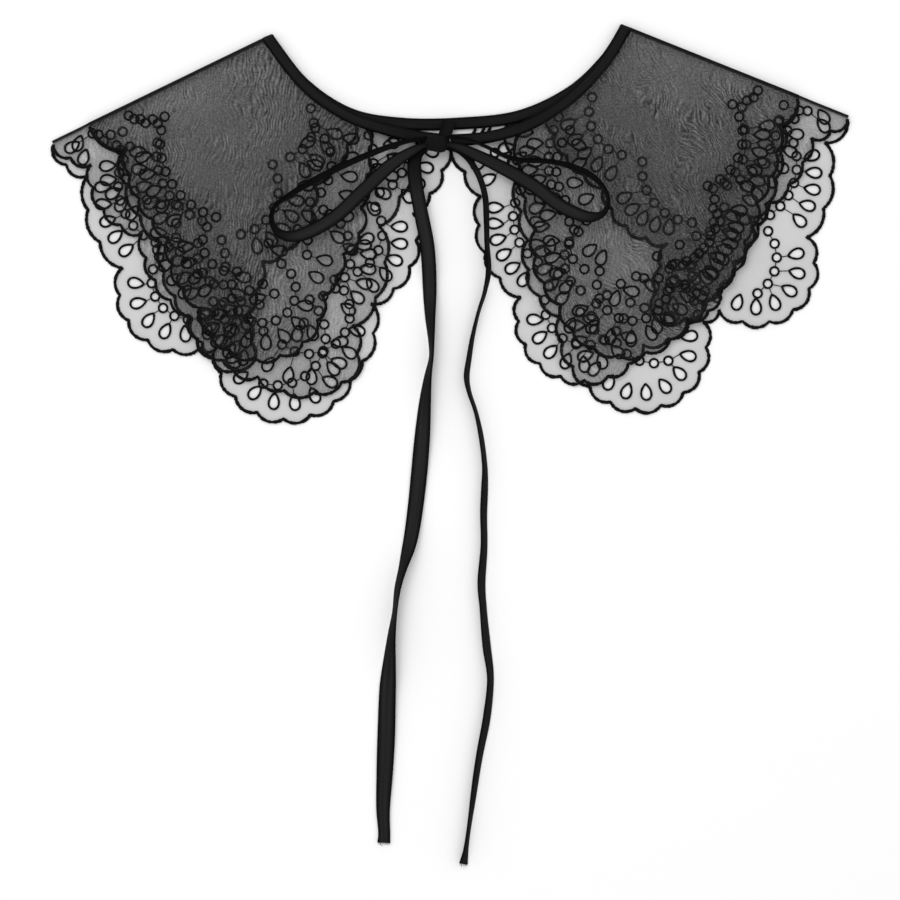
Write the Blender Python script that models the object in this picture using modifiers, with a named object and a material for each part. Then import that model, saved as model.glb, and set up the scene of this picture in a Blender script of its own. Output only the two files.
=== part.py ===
"""A two-tier embroidered organza collar, folded flat at its shoulders and tied with a tape bow.

Each wing of each tier is one sheet: a back panel below, a fold along the shoulder, a front panel above.
Lengths in the tables are millimetres. The collar lies face up with its neck towards +Y.
"""

import math
from collections import namedtuple

import bmesh
import bpy
from mathutils import Vector

MM = 0.001
# The middle of the collar's outline in plan, measured without the free ends of the tie
ORIGIN_X = 0.147
ORIGIN_Y = 3.677

# Cloth walls and the gaps between them
ORGANZA = 1.0
SEAM_GAP = 0.3
FOLD_CLEARANCE = 2 * SEAM_GAP
LAYER_STEP = ORGANZA + SEAM_GAP
BAND_WIDTH = 6.6
BAND_THICKNESS = 2 * ORGANZA + SEAM_GAP
TAPE = 1.0
FOLD_STEPS = 8

# Heights of the layers' middles, counted from the surface that the collar lies on
BACK_UPPER_Z = ORGANZA / 2
BACK_LOWER_Z = BACK_UPPER_Z + LAYER_STEP
FRONT_LOWER_Z = BACK_LOWER_Z + LAYER_STEP
FRONT_UPPER_Z = FRONT_LOWER_Z + LAYER_STEP
FOLD_Z = (BACK_UPPER_Z + FRONT_UPPER_Z) / 2
BAND_FOLD_RADIUS = (BAND_THICKNESS + SEAM_GAP) / 2
LOWER_TOP = FRONT_LOWER_Z + ORGANZA / 2
UPPER_TOP = FRONT_UPPER_Z + ORGANZA / 2

# Each big lobe of an edge is an arc that rises from a chord, set with small scallops
SCALLOP_DEPTH = 2.7
SCALLOP_ROUNDNESS = 0.8
SCALLOP_STEPS = 4
BAND_STEPS = 7
SHORTEST_EDGE = 1.0

KNOT_CENTRE = (-7.2, 48.0, UPPER_TOP + SEAM_GAP + 3.1)
KNOT_HALF = (5.2, 4.4, 3.1)
KNOT_ROUNDNESS = 0.75
KNOT_SEGMENTS = 20
KNOT_RINGS = 12

Wing = namedtuple("Wing", "corner lower_tip upper_tip")
Lobe = namedtuple("Lobe", "cusp_x cusp_y rise scallops")
Station = namedtuple("Station", "x y")
Turn = namedtuple("Turn", "x y width lean lift")
Lay = namedtuple("Lay", "x y width lean under")

# The shoulder folds: where the fold starts at the neck, and where each tier's fold ends
WINGS = {
    "left": Wing(corner=(-99.5, 104.5), lower_tip=(-218.0, 47.0), upper_tip=(-198.0, 56.7)),
    "right": Wing(corner=(96.0, 110.0), lower_tip=(218.5, 61.0), upper_tip=(191.0, 72.0)),
}

# The scalloped edges, from the fold's end round to the neckband: a row for each big lobe.
# A lobe runs from its own cusp to the next row's, and the last one to the neckband.
EDGES = {
    ("lower", "left", "back"): (
        Lobe(-218.0, 47.0, 3.5, 2),
        Lobe(-199.0, 30.0, 7.5, 3),
        Lobe(-180.0, -21.0, 18.5, 5),
        Lobe(-137.5, -64.5, 0.4, 1),
        Lobe(-128.0, -64.0, 45.5, 9),
        Lobe(-53.5, -53.0, 9.0, 3),
        Lobe(-39.0, 2.0, 6.0, 3),
    ),
    ("lower", "left", "front"): (
        Lobe(-218.0, 47.0, 2.0, 2),
        Lobe(-197.0, 36.0, 9.0, 4),
        Lobe(-169.0, -2.0, 6.5, 4),
        Lobe(-143.0, -47.0, 9.0, 4),
        Lobe(-105.5, -80.5, 27.5, 6),
        Lobe(-43.5, -40.5, 10.5, 4),
        Lobe(-20.5, 9.0, 3.5, 3),
    ),
    ("lower", "right", "back"): (
        Lobe(218.5, 61.0, 2.0, 1),
        Lobe(206.0, 48.0, 7.0, 3),
        Lobe(196.0, -4.0, 26.0, 6),
        Lobe(148.0, -43.5, 0.4, 1),
        Lobe(139.0, -50.5, 29.0, 7),
        Lobe(77.0, -86.0, 5.0, 3),
        Lobe(61.0, -47.5, 7.0, 3),
        Lobe(43.0, -5.5, 1.5, 4),
    ),
    ("lower", "right", "front"): (
        Lobe(218.5, 61.0, 1.5, 2),
        Lobe(198.5, 50.5, 6.0, 4),
        Lobe(164.0, 7.0, 6.0, 4),
        Lobe(138.5, -39.5, 6.0, 3),
        Lobe(106.0, -63.0, 32.5, 8),
        Lobe(39.0, -37.0, 9.0, 4),
        Lobe(17.0, 18.5, 1.0, 2),
    ),
    ("upper", "left", "back"): (
        Lobe(-198.0, 56.7, 1.0, 1),
        Lobe(-180.5, 43.0, 5.5, 3),
        Lobe(-158.5, -7.0, 4.5, 3),
        Lobe(-142.0, -48.5, 7.0, 3),
        Lobe(-111.0, -75.5, 3.0, 2),
        Lobe(-114.0, -48.5, 2.0, 2),
        Lobe(-103.5, -17.0, 9.0, 4),
        Lobe(-75.5, 25.5, 4.5, 3),
    ),
    ("upper", "left", "front"): (
        Lobe(-198.0, 56.7, 1.5, 1),
        Lobe(-178.0, 44.0, 5.0, 4),
        Lobe(-154.0, -4.5, 5.0, 3),
        Lobe(-136.5, -43.0, 31.0, 7),
        Lobe(-70.5, -36.0, 2.0, 2),
        Lobe(-59.0, -13.0, 4.0, 2),
        Lobe(-49.0, 12.0, 1.5, 3),
    ),
    ("upper", "right", "back"): (
        Lobe(191.0, 72.0, 0.5, 1),
        Lobe(183.0, 57.0, 2.0, 3),
        Lobe(173.5, 14.0, 2.0, 3),
        Lobe(155.5, -17.5, 2.0, 2),
        Lobe(141.0, -38.5, 5.5, 2),
        Lobe(113.0, -48.5, 2.0, 3),
        Lobe(120.0, -7.0, 8.0, 4),
        Lobe(85.0, 23.5, 6.5, 4),
    ),
    ("upper", "right", "front"): (
        Lobe(191.0, 72.0, 1.0, 1),
        Lobe(180.5, 57.0, 3.0, 3),
        Lobe(168.0, 15.0, 5.0, 4),
        Lobe(146.5, -33.0, 5.0, 2),
        Lobe(130.0, -48.5, 24.0, 6),
        Lobe(61.0, -41.0, 5.5, 3),
        Lobe(47.5, 0.0, 3.0, 3),
    ),
}

# How far along X each edge's last lobe meets the neckband
NECK_ENDS = {
    ("lower", "left", "back"): -21.0,
    ("lower", "left", "front"): -1.0,
    ("lower", "right", "back"): 32.0,
    ("lower", "right", "front"): 1.0,
    ("upper", "left", "back"): -52.5,
    ("upper", "left", "front"): -46.0,
    ("upper", "right", "back"): 54.0,
    ("upper", "right", "front"): 38.0,
}

# The neckband's middle line: round the back of the neck, and along each front to the bow
BACK_BAND = (
    Station(-99.5, 104.5),
    Station(-80.5, 80.5),
    Station(-55.5, 64.0),
    Station(-27.5, 58.5),
    Station(5.0, 58.5),
    Station(38.0, 62.5),
    Station(66.0, 75.5),
    Station(85.0, 93.0),
    Station(96.0, 110.0),
)
FRONT_BANDS = {
    "left": (
        Station(-99.5, 104.5),
        Station(-80.0, 79.5),
        Station(-58.0, 63.5),
        Station(-38.0, 56.0),
        Station(-20.0, 51.5),
        Station(-0.3, 49.0),
    ),
    "right": (
        Station(96.0, 110.0),
        Station(85.0, 92.0),
        Station(66.0, 72.0),
        Station(44.0, 58.0),
        Station(22.0, 51.0),
        Station(0.3, 49.0),
    ),
}

# The bow's loops: tape width, how far it leans from lying flat, and how high its lower edge is held
BOW_LOOPS = {
    "left": (
        Turn(-12.6, 46.8, 4.5, 50, 1.9),
        Turn(-21.5, 42.5, 6.0, 25, 1.9),
        Turn(-33.5, 34.5, 7.5, 8, 1.2),
        Turn(-48.5, 20.5, 7.7, 2, 0.3),
        Turn(-63.0, 7.0, 7.7, 3, 0.0),
        Turn(-79.0, -2.0, 7.7, 15, 0.0),
        Turn(-90.5, -3.5, 7.7, 45, 0.0),
        Turn(-97.0, 2.5, 7.7, 68, 0.0),
        Turn(-96.5, 11.5, 7.7, 74, 0.0),
        Turn(-89.0, 18.0, 7.7, 70, 0.0),
        Turn(-74.0, 27.0, 7.7, 66, 0.0),
        Turn(-50.5, 38.5, 7.3, 64, 0.0),
        Turn(-28.0, 47.0, 5.5, 64, 0.8),
        Turn(-12.6, 50.3, 4.5, 66, 1.6),
    ),
    "right": (
        Turn(-1.8, 46.8, 4.5, -50, 1.9),
        Turn(6.0, 44.5, 5.5, -25, 1.9),
        Turn(14.0, 41.0, 6.5, -8, 1.6),
        Turn(29.5, 33.5, 7.5, -2, 0.6),
        Turn(46.0, 24.0, 7.7, -2, 0.0),
        Turn(60.0, 13.5, 7.7, -8, 0.0),
        Turn(74.0, 7.2, 7.7, -30, 0.0),
        Turn(83.5, 8.5, 7.7, -60, 0.0),
        Turn(86.5, 16.5, 7.7, -74, 0.0),
        Turn(81.5, 26.0, 7.7, -72, 0.0),
        Turn(70.5, 33.0, 7.7, -68, 0.0),
        Turn(55.5, 37.0, 7.5, -70, 0.0),
        Turn(35.0, 38.5, 6.8, -72, 0.0),
        Turn(19.0, 45.6, 6.0, -74, 0.0),
        Turn(9.0, 49.3, 5.0, -72, 0.8),
        Turn(-1.8, 51.0, 4.5, -66, 1.6),
    ),
}

# The free ends of the tie: tape width, lean, and the height of what each stretch lies on
TIE_ENDS = {
    "left": (
        Lay(-12.6, 45.2, 4.0, 5, UPPER_TOP),
        Lay(-17.5, 42.0, 6.4, 6, UPPER_TOP),
        Lay(-19.6, 36.0, 7.8, 12, UPPER_TOP),
        Lay(-18.8, 24.5, 8.0, 14, LOWER_TOP),
        Lay(-16.5, 12.0, 8.0, 12, LOWER_TOP),
        Lay(-13.0, -5.5, 8.0, 4, LOWER_TOP),
        Lay(-11.8, -16.5, 8.0, 4, LOWER_TOP),
        Lay(-11.2, -32.0, 8.0, 18, 0.0),
        Lay(-10.9, -48.0, 8.0, 46, 0.0),
        Lay(-10.4, -60.0, 8.0, 64, 0.0),
        Lay(-10.4, -70.0, 8.0, 70, 0.0),
        Lay(-12.2, -81.0, 8.0, 58, 0.0),
        Lay(-13.9, -96.0, 8.6, 40, 0.0),
        Lay(-15.4, -115.5, 9.0, 16, 0.0),
        Lay(-17.0, -134.0, 9.0, 6, 0.0),
        Lay(-19.2, -154.0, 8.6, 6, 0.0),
        Lay(-21.9, -171.0, 8.4, 24, 0.0),
        Lay(-25.8, -185.0, 8.4, 54, 0.0),
        Lay(-28.8, -197.0, 8.6, 64, 0.0),
        Lay(-30.4, -210.0, 8.8, 72, 0.0),
        Lay(-32.2, -223.0, 9.0, 60, 0.0),
        Lay(-33.4, -239.0, 9.4, 38, 0.0),
        Lay(-34.4, -255.0, 9.6, 16, 0.0),
        Lay(-35.1, -279.0, 9.8, 6, 0.0),
        Lay(-36.0, -300.0, 9.0, 6, 0.0),
        Lay(-36.8, -318.0, 7.6, 4, 0.0),
        Lay(-36.2, -331.0, 6.6, 4, 0.0),
        Lay(-36.4, -337.0, 7.2, 3, 0.0),
    ),
    "right": (
        Lay(-1.8, 45.2, 3.4, -5, UPPER_TOP),
        Lay(4.5, 43.3, 3.2, -8, UPPER_TOP),
        Lay(10.8, 38.0, 3.6, -20, LOWER_TOP),
        Lay(16.2, 29.0, 4.6, -42, LOWER_TOP),
        Lay(19.4, 18.0, 5.2, -52, LOWER_TOP),
        Lay(20.0, 6.0, 5.5, -56, LOWER_TOP),
        Lay(20.4, -8.0, 5.5, -57, LOWER_TOP),
        Lay(21.3, -22.0, 5.5, -58, LOWER_TOP),
        Lay(19.2, -34.0, 5.5, -66, 0.0),
        Lay(15.8, -45.0, 5.5, -68, 0.0),
        Lay(12.6, -58.5, 5.5, -66, 0.0),
        Lay(10.6, -70.0, 5.5, -60, 0.0),
        Lay(9.2, -80.5, 5.5, -54, 0.0),
        Lay(10.6, -89.0, 5.5, -62, 0.0),
        Lay(14.4, -100.5, 5.5, -68, 0.0),
        Lay(17.3, -114.5, 5.5, -60, 0.0),
        Lay(19.2, -130.0, 5.5, -56, 0.0),
        Lay(19.1, -142.0, 5.5, -48, 0.0),
        Lay(18.5, -156.0, 5.5, -46, 0.0),
        Lay(18.8, -174.0, 5.5, -46, 0.0),
        Lay(17.3, -194.0, 5.8, -42, 0.0),
        Lay(18.4, -209.0, 5.8, -46, 0.0),
        Lay(20.2, -229.0, 6.0, -42, 0.0),
        Lay(22.3, -247.0, 6.0, -50, 0.0),
        Lay(20.4, -267.0, 6.0, -46, 0.0),
        Lay(16.6, -287.0, 6.0, -48, 0.0),
        Lay(13.5, -307.0, 5.6, -54, 0.0),
        Lay(10.7, -327.0, 5.4, -62, 0.0),
        Lay(8.8, -341.0, 5.4, -58, 0.0),
        Lay(7.4, -348.5, 5.4, -30, 0.0),
    ),
}
LOOP_STEPS = 4
TIE_STEPS = 3
FLOOR_CLEARANCE = 0.1

# Colours are linear
FINISHES = {
    "organza_lower": ((0.035, 0.035, 0.037), 0.62),
    "organza_upper": ((0.022, 0.022, 0.024), 0.62),
    "band_tape": ((0.010, 0.010, 0.011), 0.55),
    "bow_tape": ((0.008, 0.008, 0.009), 0.50),
}


def clear_scene():
    for thing in list(bpy.data.objects):
        bpy.data.objects.remove(thing, do_unlink=True)


def new_collection(name):
    collection = bpy.data.collections.new(name)
    bpy.context.scene.collection.children.link(collection)
    return collection


def finish(name, kind):
    """A material of its own for one piece."""
    colour, roughness = FINISHES[kind]
    material = bpy.data.materials.new(name + "_" + kind)
    material.use_nodes = True
    shader = material.node_tree.nodes["Principled BSDF"]
    shader.inputs["Base Color"].default_value = (*colour, 1.0)
    shader.inputs["Roughness"].default_value = roughness
    shader.inputs["Metallic"].default_value = 0.0
    return material


def metres(x, y, z):
    return Vector(((x - ORIGIN_X) * MM, (y - ORIGIN_Y) * MM, z * MM))


def add_piece(name, bm, collection, kind):
    mesh = bpy.data.meshes.new(name)
    bm.to_mesh(mesh)
    bm.free()
    piece = bpy.data.objects.new(name, mesh)
    mesh.materials.append(finish(name, kind))
    collection.objects.link(piece)
    return piece


def thicken(piece, thickness):
    """Turns an open sheet into a cloth wall, half of it on each side of the sheet."""
    wall = piece.modifiers.new("Wall", "SOLIDIFY")
    wall.thickness = thickness * MM
    wall.offset = 0.0
    wall.use_even_offset = True


def smooth(rows, steps):
    """Rows read from a smooth curve through the given rows, steps of them to each stretch."""
    kind = type(rows[0])
    ends = [rows[0], *rows, rows[-1]]
    out = []
    for before, here, there, after in zip(ends, ends[1:], ends[2:], ends[3:]):
        for step in range(steps):
            t = step / steps
            weights = (
                (-t + 2 * t**2 - t**3) / 2,
                (2 - 5 * t**2 + 3 * t**3) / 2,
                (t + 4 * t**2 - 3 * t**3) / 2,
                (-(t**2) + t**3) / 2,
            )
            mixed = [
                sum(weight * value for weight, value in zip(weights, column))
                for column in zip(before, here, there, after)
            ]
            out.append(kind(*mixed))
    out.append(rows[-1])
    return out


def directions(points):
    """Unit direction of travel at each point of a line in plan."""
    out = []
    for index in range(len(points)):
        here = points[max(index - 1, 0)]
        there = points[min(index + 1, len(points) - 1)]
        out.append((Vector(there) - Vector(here)).normalized())
    return out


def offset_line(stations, distance):
    """The line moved sideways in plan, to its left where distance is positive."""
    points = [(row.x, row.y) for row in stations]
    return [
        Vector(point) + distance * Vector((-way.y, way.x))
        for point, way in zip(points, directions(points))
    ]


def lobe_points(start, end, lobe, outward_sign):
    """One big lobe as an arc over its chord, with small scallops that bulge from it."""
    chord = end - start
    along = chord.normalized()
    outward = Vector((-along.y, along.x)) * outward_sign
    half = chord.length / 2
    radius = (lobe.rise**2 + half**2) / (2 * lobe.rise)
    centre = (start + end) / 2 + outward * (lobe.rise - radius)
    half_angle = math.atan2(half, radius - lobe.rise)
    points = []
    for step in range(lobe.scallops * SCALLOP_STEPS):
        share = step / (lobe.scallops * SCALLOP_STEPS)
        angle = (2 * share - 1) * half_angle
        bulge = math.sin(math.pi * (step % SCALLOP_STEPS) / SCALLOP_STEPS) ** SCALLOP_ROUNDNESS
        reach = radius + SCALLOP_DEPTH * bulge
        points.append(centre + reach * (math.cos(angle) * outward + math.sin(angle) * along))
    return points


def band_side(side, face):
    """Which rows carry this panel's neck edge, read from the shoulder corner towards the bow."""
    if face == "front":
        return FRONT_BANDS[side]
    return BACK_BAND if side == "left" else BACK_BAND[::-1]


def neck_edge(side, face, end_x):
    """The panel's neck edge, just clear of the neckband, from the shoulder corner to end_x."""
    # Seen from the corner, the panel lies to the right of the left band and to the left of the right one
    away = -1 if side == "left" else 1
    clear = away * (BAND_WIDTH / 2 + SEAM_GAP)
    line = offset_line(smooth(band_side(side, face), BAND_STEPS), clear)
    kept = [line[0]]
    for before, point in zip(line, line[1:]):
        if (point.x - end_x) * away > 0:
            kept.append(point)
            continue
        share = (end_x - before.x) / (point.x - before.x)
        kept.append(before.lerp(point, share))
        break
    return kept


def fold_frame(side):
    """Where the fold starts clear of the neckband, its direction, and the way it bulges."""
    wing = WINGS[side]
    corner = Vector(wing.corner)
    along = (Vector(wing.lower_tip) - corner).normalized()
    across = Vector((-along.y, along.x))
    bulge = across if across.y > 0 else -across
    return corner, along, bulge


def half_band_at_fold(side):
    """Half the neckband's width where the fold cuts it aslant, over its two layers."""
    _, along, _ = fold_frame(side)
    halves = []
    for face in ("back", "front"):
        line = [(row.x, row.y) for row in smooth(band_side(side, face), BAND_STEPS)]
        way = directions(line)[0]
        sine = abs(way.x * along.y - way.y * along.x)
        halves.append(BAND_WIDTH / 2 / sine)
    return max(halves)


def panel_outline(tier, side, face):
    """The panel's outline in plan: fold corner, fold tip, scalloped edge, neck edge."""
    corner, along, _ = fold_frame(side)
    first = corner + along * (half_band_at_fold(side) + FOLD_CLEARANCE)
    lobes = EDGES[tier, side, face]
    neck = neck_edge(side, face, NECK_ENDS[tier, side, face])
    cusps = [Vector((lobe.cusp_x, lobe.cusp_y)) for lobe in lobes] + [neck[-1]]
    outward_sign = -1 if side == "left" else 1
    points = [first]
    for lobe, start, end in zip(lobes, cusps, cusps[1:]):
        points.extend(lobe_points(start, end, lobe, outward_sign))
    for point in reversed(neck):
        offset = point - first
        if offset.length > SHORTEST_EDGE and offset.dot(along) < 0:
            points.append(point)
    return points


def folded_wing(name, tier, side, z_back, z_front, collection):
    """Back panel, rounded shoulder fold and front panel as one sheet with a wall."""
    radius = (z_front - z_back) / 2
    _, _, bulge = fold_frame(side)
    bm = bmesh.new()
    faces = {}
    for face, z in (("back", z_back), ("front", z_front)):
        outline = panel_outline(tier, side, face)
        corners = [bm.verts.new(metres(p.x, p.y, z)) for p in outline]
        bm.faces.new(corners)
        faces[face] = (outline[:2], corners[:2])
    ends, previous = faces["back"]
    for step in range(1, FOLD_STEPS + 1):
        angle = math.pi * (step / FOLD_STEPS - 0.5)
        rise = FOLD_Z + radius * math.sin(angle)
        if step == FOLD_STEPS:
            current = faces["front"][1]
        else:
            shifted = [p + bulge * radius * math.cos(angle) for p in ends]
            current = [bm.verts.new(metres(p.x, p.y, rise)) for p in shifted]
        bm.faces.new((previous[0], previous[1], current[1], current[0]))
        previous = current
    bmesh.ops.recalc_face_normals(bm, faces=bm.faces)
    piece = add_piece(name, bm, collection, "organza_" + tier)
    thicken(piece, ORGANZA)
    return piece


def bridge(bm, rails):
    """Quads between each pair of neighbouring cross lines."""
    for before, after in zip(rails, rails[1:]):
        bm.faces.new((before[0], before[1], after[1], after[0]))


def band_rails(bm, stations, z):
    """Cross lines of a flat stretch of neckband, all but its first, which lies on the fold."""
    left = offset_line(stations, BAND_WIDTH / 2)
    right = offset_line(stations, -BAND_WIDTH / 2)
    return [
        (bm.verts.new(metres(a.x, a.y, z)), bm.verts.new(metres(b.x, b.y, z)))
        for a, b in zip(left, right)
    ][1:]


def shoulder_rails(bm, side):
    """Cross lines of the neckband's fold, from its lower layer up to its upper one."""
    corner, along, bulge = fold_frame(side)
    half = half_band_at_fold(side)
    ends = (corner - along * half, corner + along * half)
    rails = []
    for step in range(FOLD_STEPS + 1):
        angle = math.pi * (step / FOLD_STEPS - 0.5)
        z = FOLD_Z + BAND_FOLD_RADIUS * math.sin(angle)
        shift = bulge * BAND_FOLD_RADIUS * math.cos(angle)
        rails.append(tuple(bm.verts.new(metres(p.x + shift.x, p.y + shift.y, z)) for p in ends))
    return rails


def neckband(collection):
    """One bound strip: the left front, the left fold, the back, the right fold, the right front."""
    bm = bmesh.new()
    z_back = FOLD_Z - BAND_FOLD_RADIUS
    z_front = FOLD_Z + BAND_FOLD_RADIUS
    back = band_rails(bm, smooth(BACK_BAND, BAND_STEPS), z_back)[:-1]
    left = band_rails(bm, smooth(FRONT_BANDS["left"], BAND_STEPS), z_front)
    right = band_rails(bm, smooth(FRONT_BANDS["right"], BAND_STEPS), z_front)
    # Each cross line starts at the edge nearer the neck, so the right front's lines turn round
    right_turned = [(near, far) for far, near in right]
    left_fold = shoulder_rails(bm, "left")
    right_fold = shoulder_rails(bm, "right")
    bridge(bm, left[::-1] + left_fold[::-1] + back + right_fold + right_turned)
    bmesh.ops.recalc_face_normals(bm, faces=bm.faces)
    piece = add_piece("neckband", bm, collection, "band_tape")
    thicken(piece, BAND_THICKNESS)
    return piece


def tape_rails(bm, rows, heights):
    """Cross lines of a tape that leans from lying flat, its lower edge at the given heights."""
    points = [(row.x, row.y) for row in rows]
    rails = []
    for row, height, way in zip(rows, heights, directions(points)):
        lean = math.radians(row.lean)
        middle = height + (row.width * abs(math.sin(lean)) + TAPE * math.cos(lean)) / 2
        side = Vector((-way.y * math.cos(lean), way.x * math.cos(lean), math.sin(lean)))
        centre = Vector((row.x, row.y, middle))
        ends = (centre + side * row.width / 2, centre - side * row.width / 2)
        rails.append(tuple(bm.verts.new(metres(*end)) for end in ends))
    return rails


def tape(name, rows, heights, collection):
    bm = bmesh.new()
    bridge(bm, tape_rails(bm, rows, heights))
    bmesh.ops.recalc_face_normals(bm, faces=bm.faces)
    piece = add_piece(name, bm, collection, "bow_tape")
    thicken(piece, TAPE)
    return piece


def bow_loop(side, collection):
    """A loop that leaves the knot flat, turns at its tip and comes back on edge."""
    rows = smooth(BOW_LOOPS[side], LOOP_STEPS)
    heights = [UPPER_TOP + SEAM_GAP + row.lift for row in rows]
    return tape("bow_loop_" + side, rows, heights, collection)


def tie_end(side, collection):
    """A free end that lies over the front panel, then down on the surface."""
    rows = smooth(TIE_ENDS[side], TIE_STEPS)
    heights = [max(row.under + SEAM_GAP, FLOOR_CLEARANCE) for row in rows]
    return tape("tie_end_" + side, rows, heights, collection)


def bow_knot(collection):
    """The knot: a rounded, slightly squared pad over the ends of the neckband."""
    bm = bmesh.new()
    bmesh.ops.create_uvsphere(bm, u_segments=KNOT_SEGMENTS, v_segments=KNOT_RINGS, radius=1.0)
    for vertex in bm.verts:
        squared = [math.copysign(abs(value) ** KNOT_ROUNDNESS, value) for value in vertex.co]
        reach = [half * value for half, value in zip(KNOT_HALF, squared)]
        vertex.co = metres(*(middle + step for middle, step in zip(KNOT_CENTRE, reach)))
    piece = add_piece("bow_knot", bm, collection, "bow_tape")
    piece.data.shade_smooth()
    return piece


def main():
    clear_scene()
    collection = new_collection("lace_collar")
    for side in WINGS:
        folded_wing("upper_tier_" + side, "upper", side, BACK_UPPER_Z, FRONT_UPPER_Z, collection)
        folded_wing("lower_tier_" + side, "lower", side, BACK_LOWER_Z, FRONT_LOWER_Z, collection)
        bow_loop(side, collection)
        tie_end(side, collection)
    neckband(collection)
    bow_knot(collection)


main()
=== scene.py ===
"""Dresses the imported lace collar: sheer organza tiers, stitched eyelets, a bound neckband and a tape bow.

Tables and lengths are millimetres, with the collar lying face up and its neck towards +Y.
"""

import math
from collections import namedtuple
from itertools import accumulate

import bmesh
import bpy
import numpy as np
from bpy.props import BoolProperty, FloatProperty, FloatVectorProperty, PointerProperty
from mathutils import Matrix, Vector, geometry


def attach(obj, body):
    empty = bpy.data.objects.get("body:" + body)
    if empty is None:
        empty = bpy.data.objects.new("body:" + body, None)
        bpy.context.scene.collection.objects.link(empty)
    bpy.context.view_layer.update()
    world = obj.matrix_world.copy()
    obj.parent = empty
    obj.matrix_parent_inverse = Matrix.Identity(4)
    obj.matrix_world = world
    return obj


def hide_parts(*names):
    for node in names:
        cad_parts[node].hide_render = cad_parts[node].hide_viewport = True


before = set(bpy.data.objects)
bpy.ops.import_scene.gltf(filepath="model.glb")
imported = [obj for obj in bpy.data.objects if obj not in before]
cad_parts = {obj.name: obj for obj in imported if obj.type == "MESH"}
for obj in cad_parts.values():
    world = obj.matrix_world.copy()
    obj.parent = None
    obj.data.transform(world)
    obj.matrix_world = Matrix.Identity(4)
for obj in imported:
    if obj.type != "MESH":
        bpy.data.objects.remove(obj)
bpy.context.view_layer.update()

bl_info = {
    "name": "Lace collar dressing",
    "version": (1, 0, 0),
    "blender": (4, 5, 0),
    "location": "3D View > Sidebar > Collar",
    "description": "Drapes, stitches and binds an organza collar over its solids",
    "category": "Object",
}

MM = 0.001
ORIGIN_X = 0.147
ORIGIN_Y = 3.677

# The photograph's frame, in the collar's own millimetres
PICTURE_WIDTH = 495.0
PICTURE_MIDDLE = (0.0, -121.0)

# Soft creases listed for the wings: each runs between two points, and fades at its ends
CREASES = {
    "left": (
        ((-92, 86), (-128, 8), 8, 0.55),
        ((-74, 66), (-96, -34), 9, 0.45),
        ((-140, 78), (-152, 12), 9, 0.5),
        ((-44, 42), (-62, -66), 10, 0.4),
        ((-120, -20), (-84, -72), 8, 0.45),
    ),
    "right": (
        ((90, 92), (118, -6), 9, 0.5),
        ((66, 62), (82, -40), 8, 0.45),
        ((132, 88), (150, 16), 9, 0.55),
        ((36, 40), (56, -60), 10, 0.4),
        ((160, 30), (112, -58), 8, 0.4),
    ),
}

# How the cloth lies
ORGANZA = 1.0
SEAM_GAP = 0.3
LAYER_STEP = ORGANZA + SEAM_GAP
LOWEST_SHEET = ORGANZA / 2
BAND_WIDTH = 6.6
BAND_THICKNESS = 2 * ORGANZA + SEAM_GAP
FOLD_Z = LOWEST_SHEET + 1.5 * LAYER_STEP
BAND_FOLD_RADIUS = (BAND_THICKNESS + SEAM_GAP) / 2
LOWER_TOP = LOWEST_SHEET + 2 * LAYER_STEP + ORGANZA / 2
UPPER_TOP = LOWER_TOP + LAYER_STEP
TAPE = 1.0
FLOOR_CLEARANCE = 0.1
FOLD_STEPS = 8
BAND_STEPS = 14
SHORTEST_EDGE = 1.0
SCALLOP_DEPTH = 2.7
SCALLOP_ROUNDNESS = 0.8
SCALLOP_STEPS = 10
FOLD_POINTS = 36
DRAPE_REACH = 7.0
FOLD_BULGE = {"upper": 2.3, "lower": 2.1}
NECK_TUCK = 0.8
GAP_THREADS = (13.3, 18.0, 21.5, 34.0, 42.0)
LAYERS = (("upper", "back"), ("lower", "back"), ("lower", "front"), ("upper", "front"))
GRAIN_BY_LAYER = (0.0, 0.0, 0.3, 0.33)

# How much lower layers close the weave by the fold and far from it, and how far the change reaches
CLOSING = {"left": (0.0, 0.152, 22.0), "right": (0.02, 0.212, 34.0)}

# Depth of each panel's second row of eyelets, and how many first lobes set theirs between the scallops
EYELET_ROWS = {
    ("upper", "back"): (None, 8),
    ("lower", "back"): (None, 0),
    ("lower", "front"): (32.0, 5),
    ("upper", "front"): (34.0, 0),
}

KNOT_CENTRE = (-7.2, 48.0, UPPER_TOP + SEAM_GAP + 3.1)
KNOT_HALF = (5.2, 4.4, 3.1)
KNOT_TURN = -0.2
KNOT_SLACK = (1.18, 1.08)

Spot = namedtuple("Spot", "x y z")
Wing = namedtuple("Wing", "corner lower_tip upper_tip")
Lobe = namedtuple("Lobe", "cusp_x cusp_y rise scallops")
Station = namedtuple("Station", "x y")
Turn = namedtuple("Turn", "x y width lean lift")
Lay = namedtuple("Lay", "x y width lean under")
Arc = namedtuple("Arc", "centre radius half_angle outward along")
Panel = namedtuple("Panel", "outline plan fold_count edge_count arcs cusps inner_row between")


def each(kind, *rows):
    """A table: one row of this kind from each tuple."""
    return [kind(*row) for row in rows]


FACES = ("back", "front")
AWAY = {"left": -1, "right": 1}

WINGS = {
    "left": Wing(corner=(-99.5, 104.5), lower_tip=(-218.0, 47.0), upper_tip=(-198.0, 56.7)),
    "right": Wing(corner=(96.0, 110.0), lower_tip=(218.5, 61.0), upper_tip=(191.0, 72.0)),
}

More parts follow.
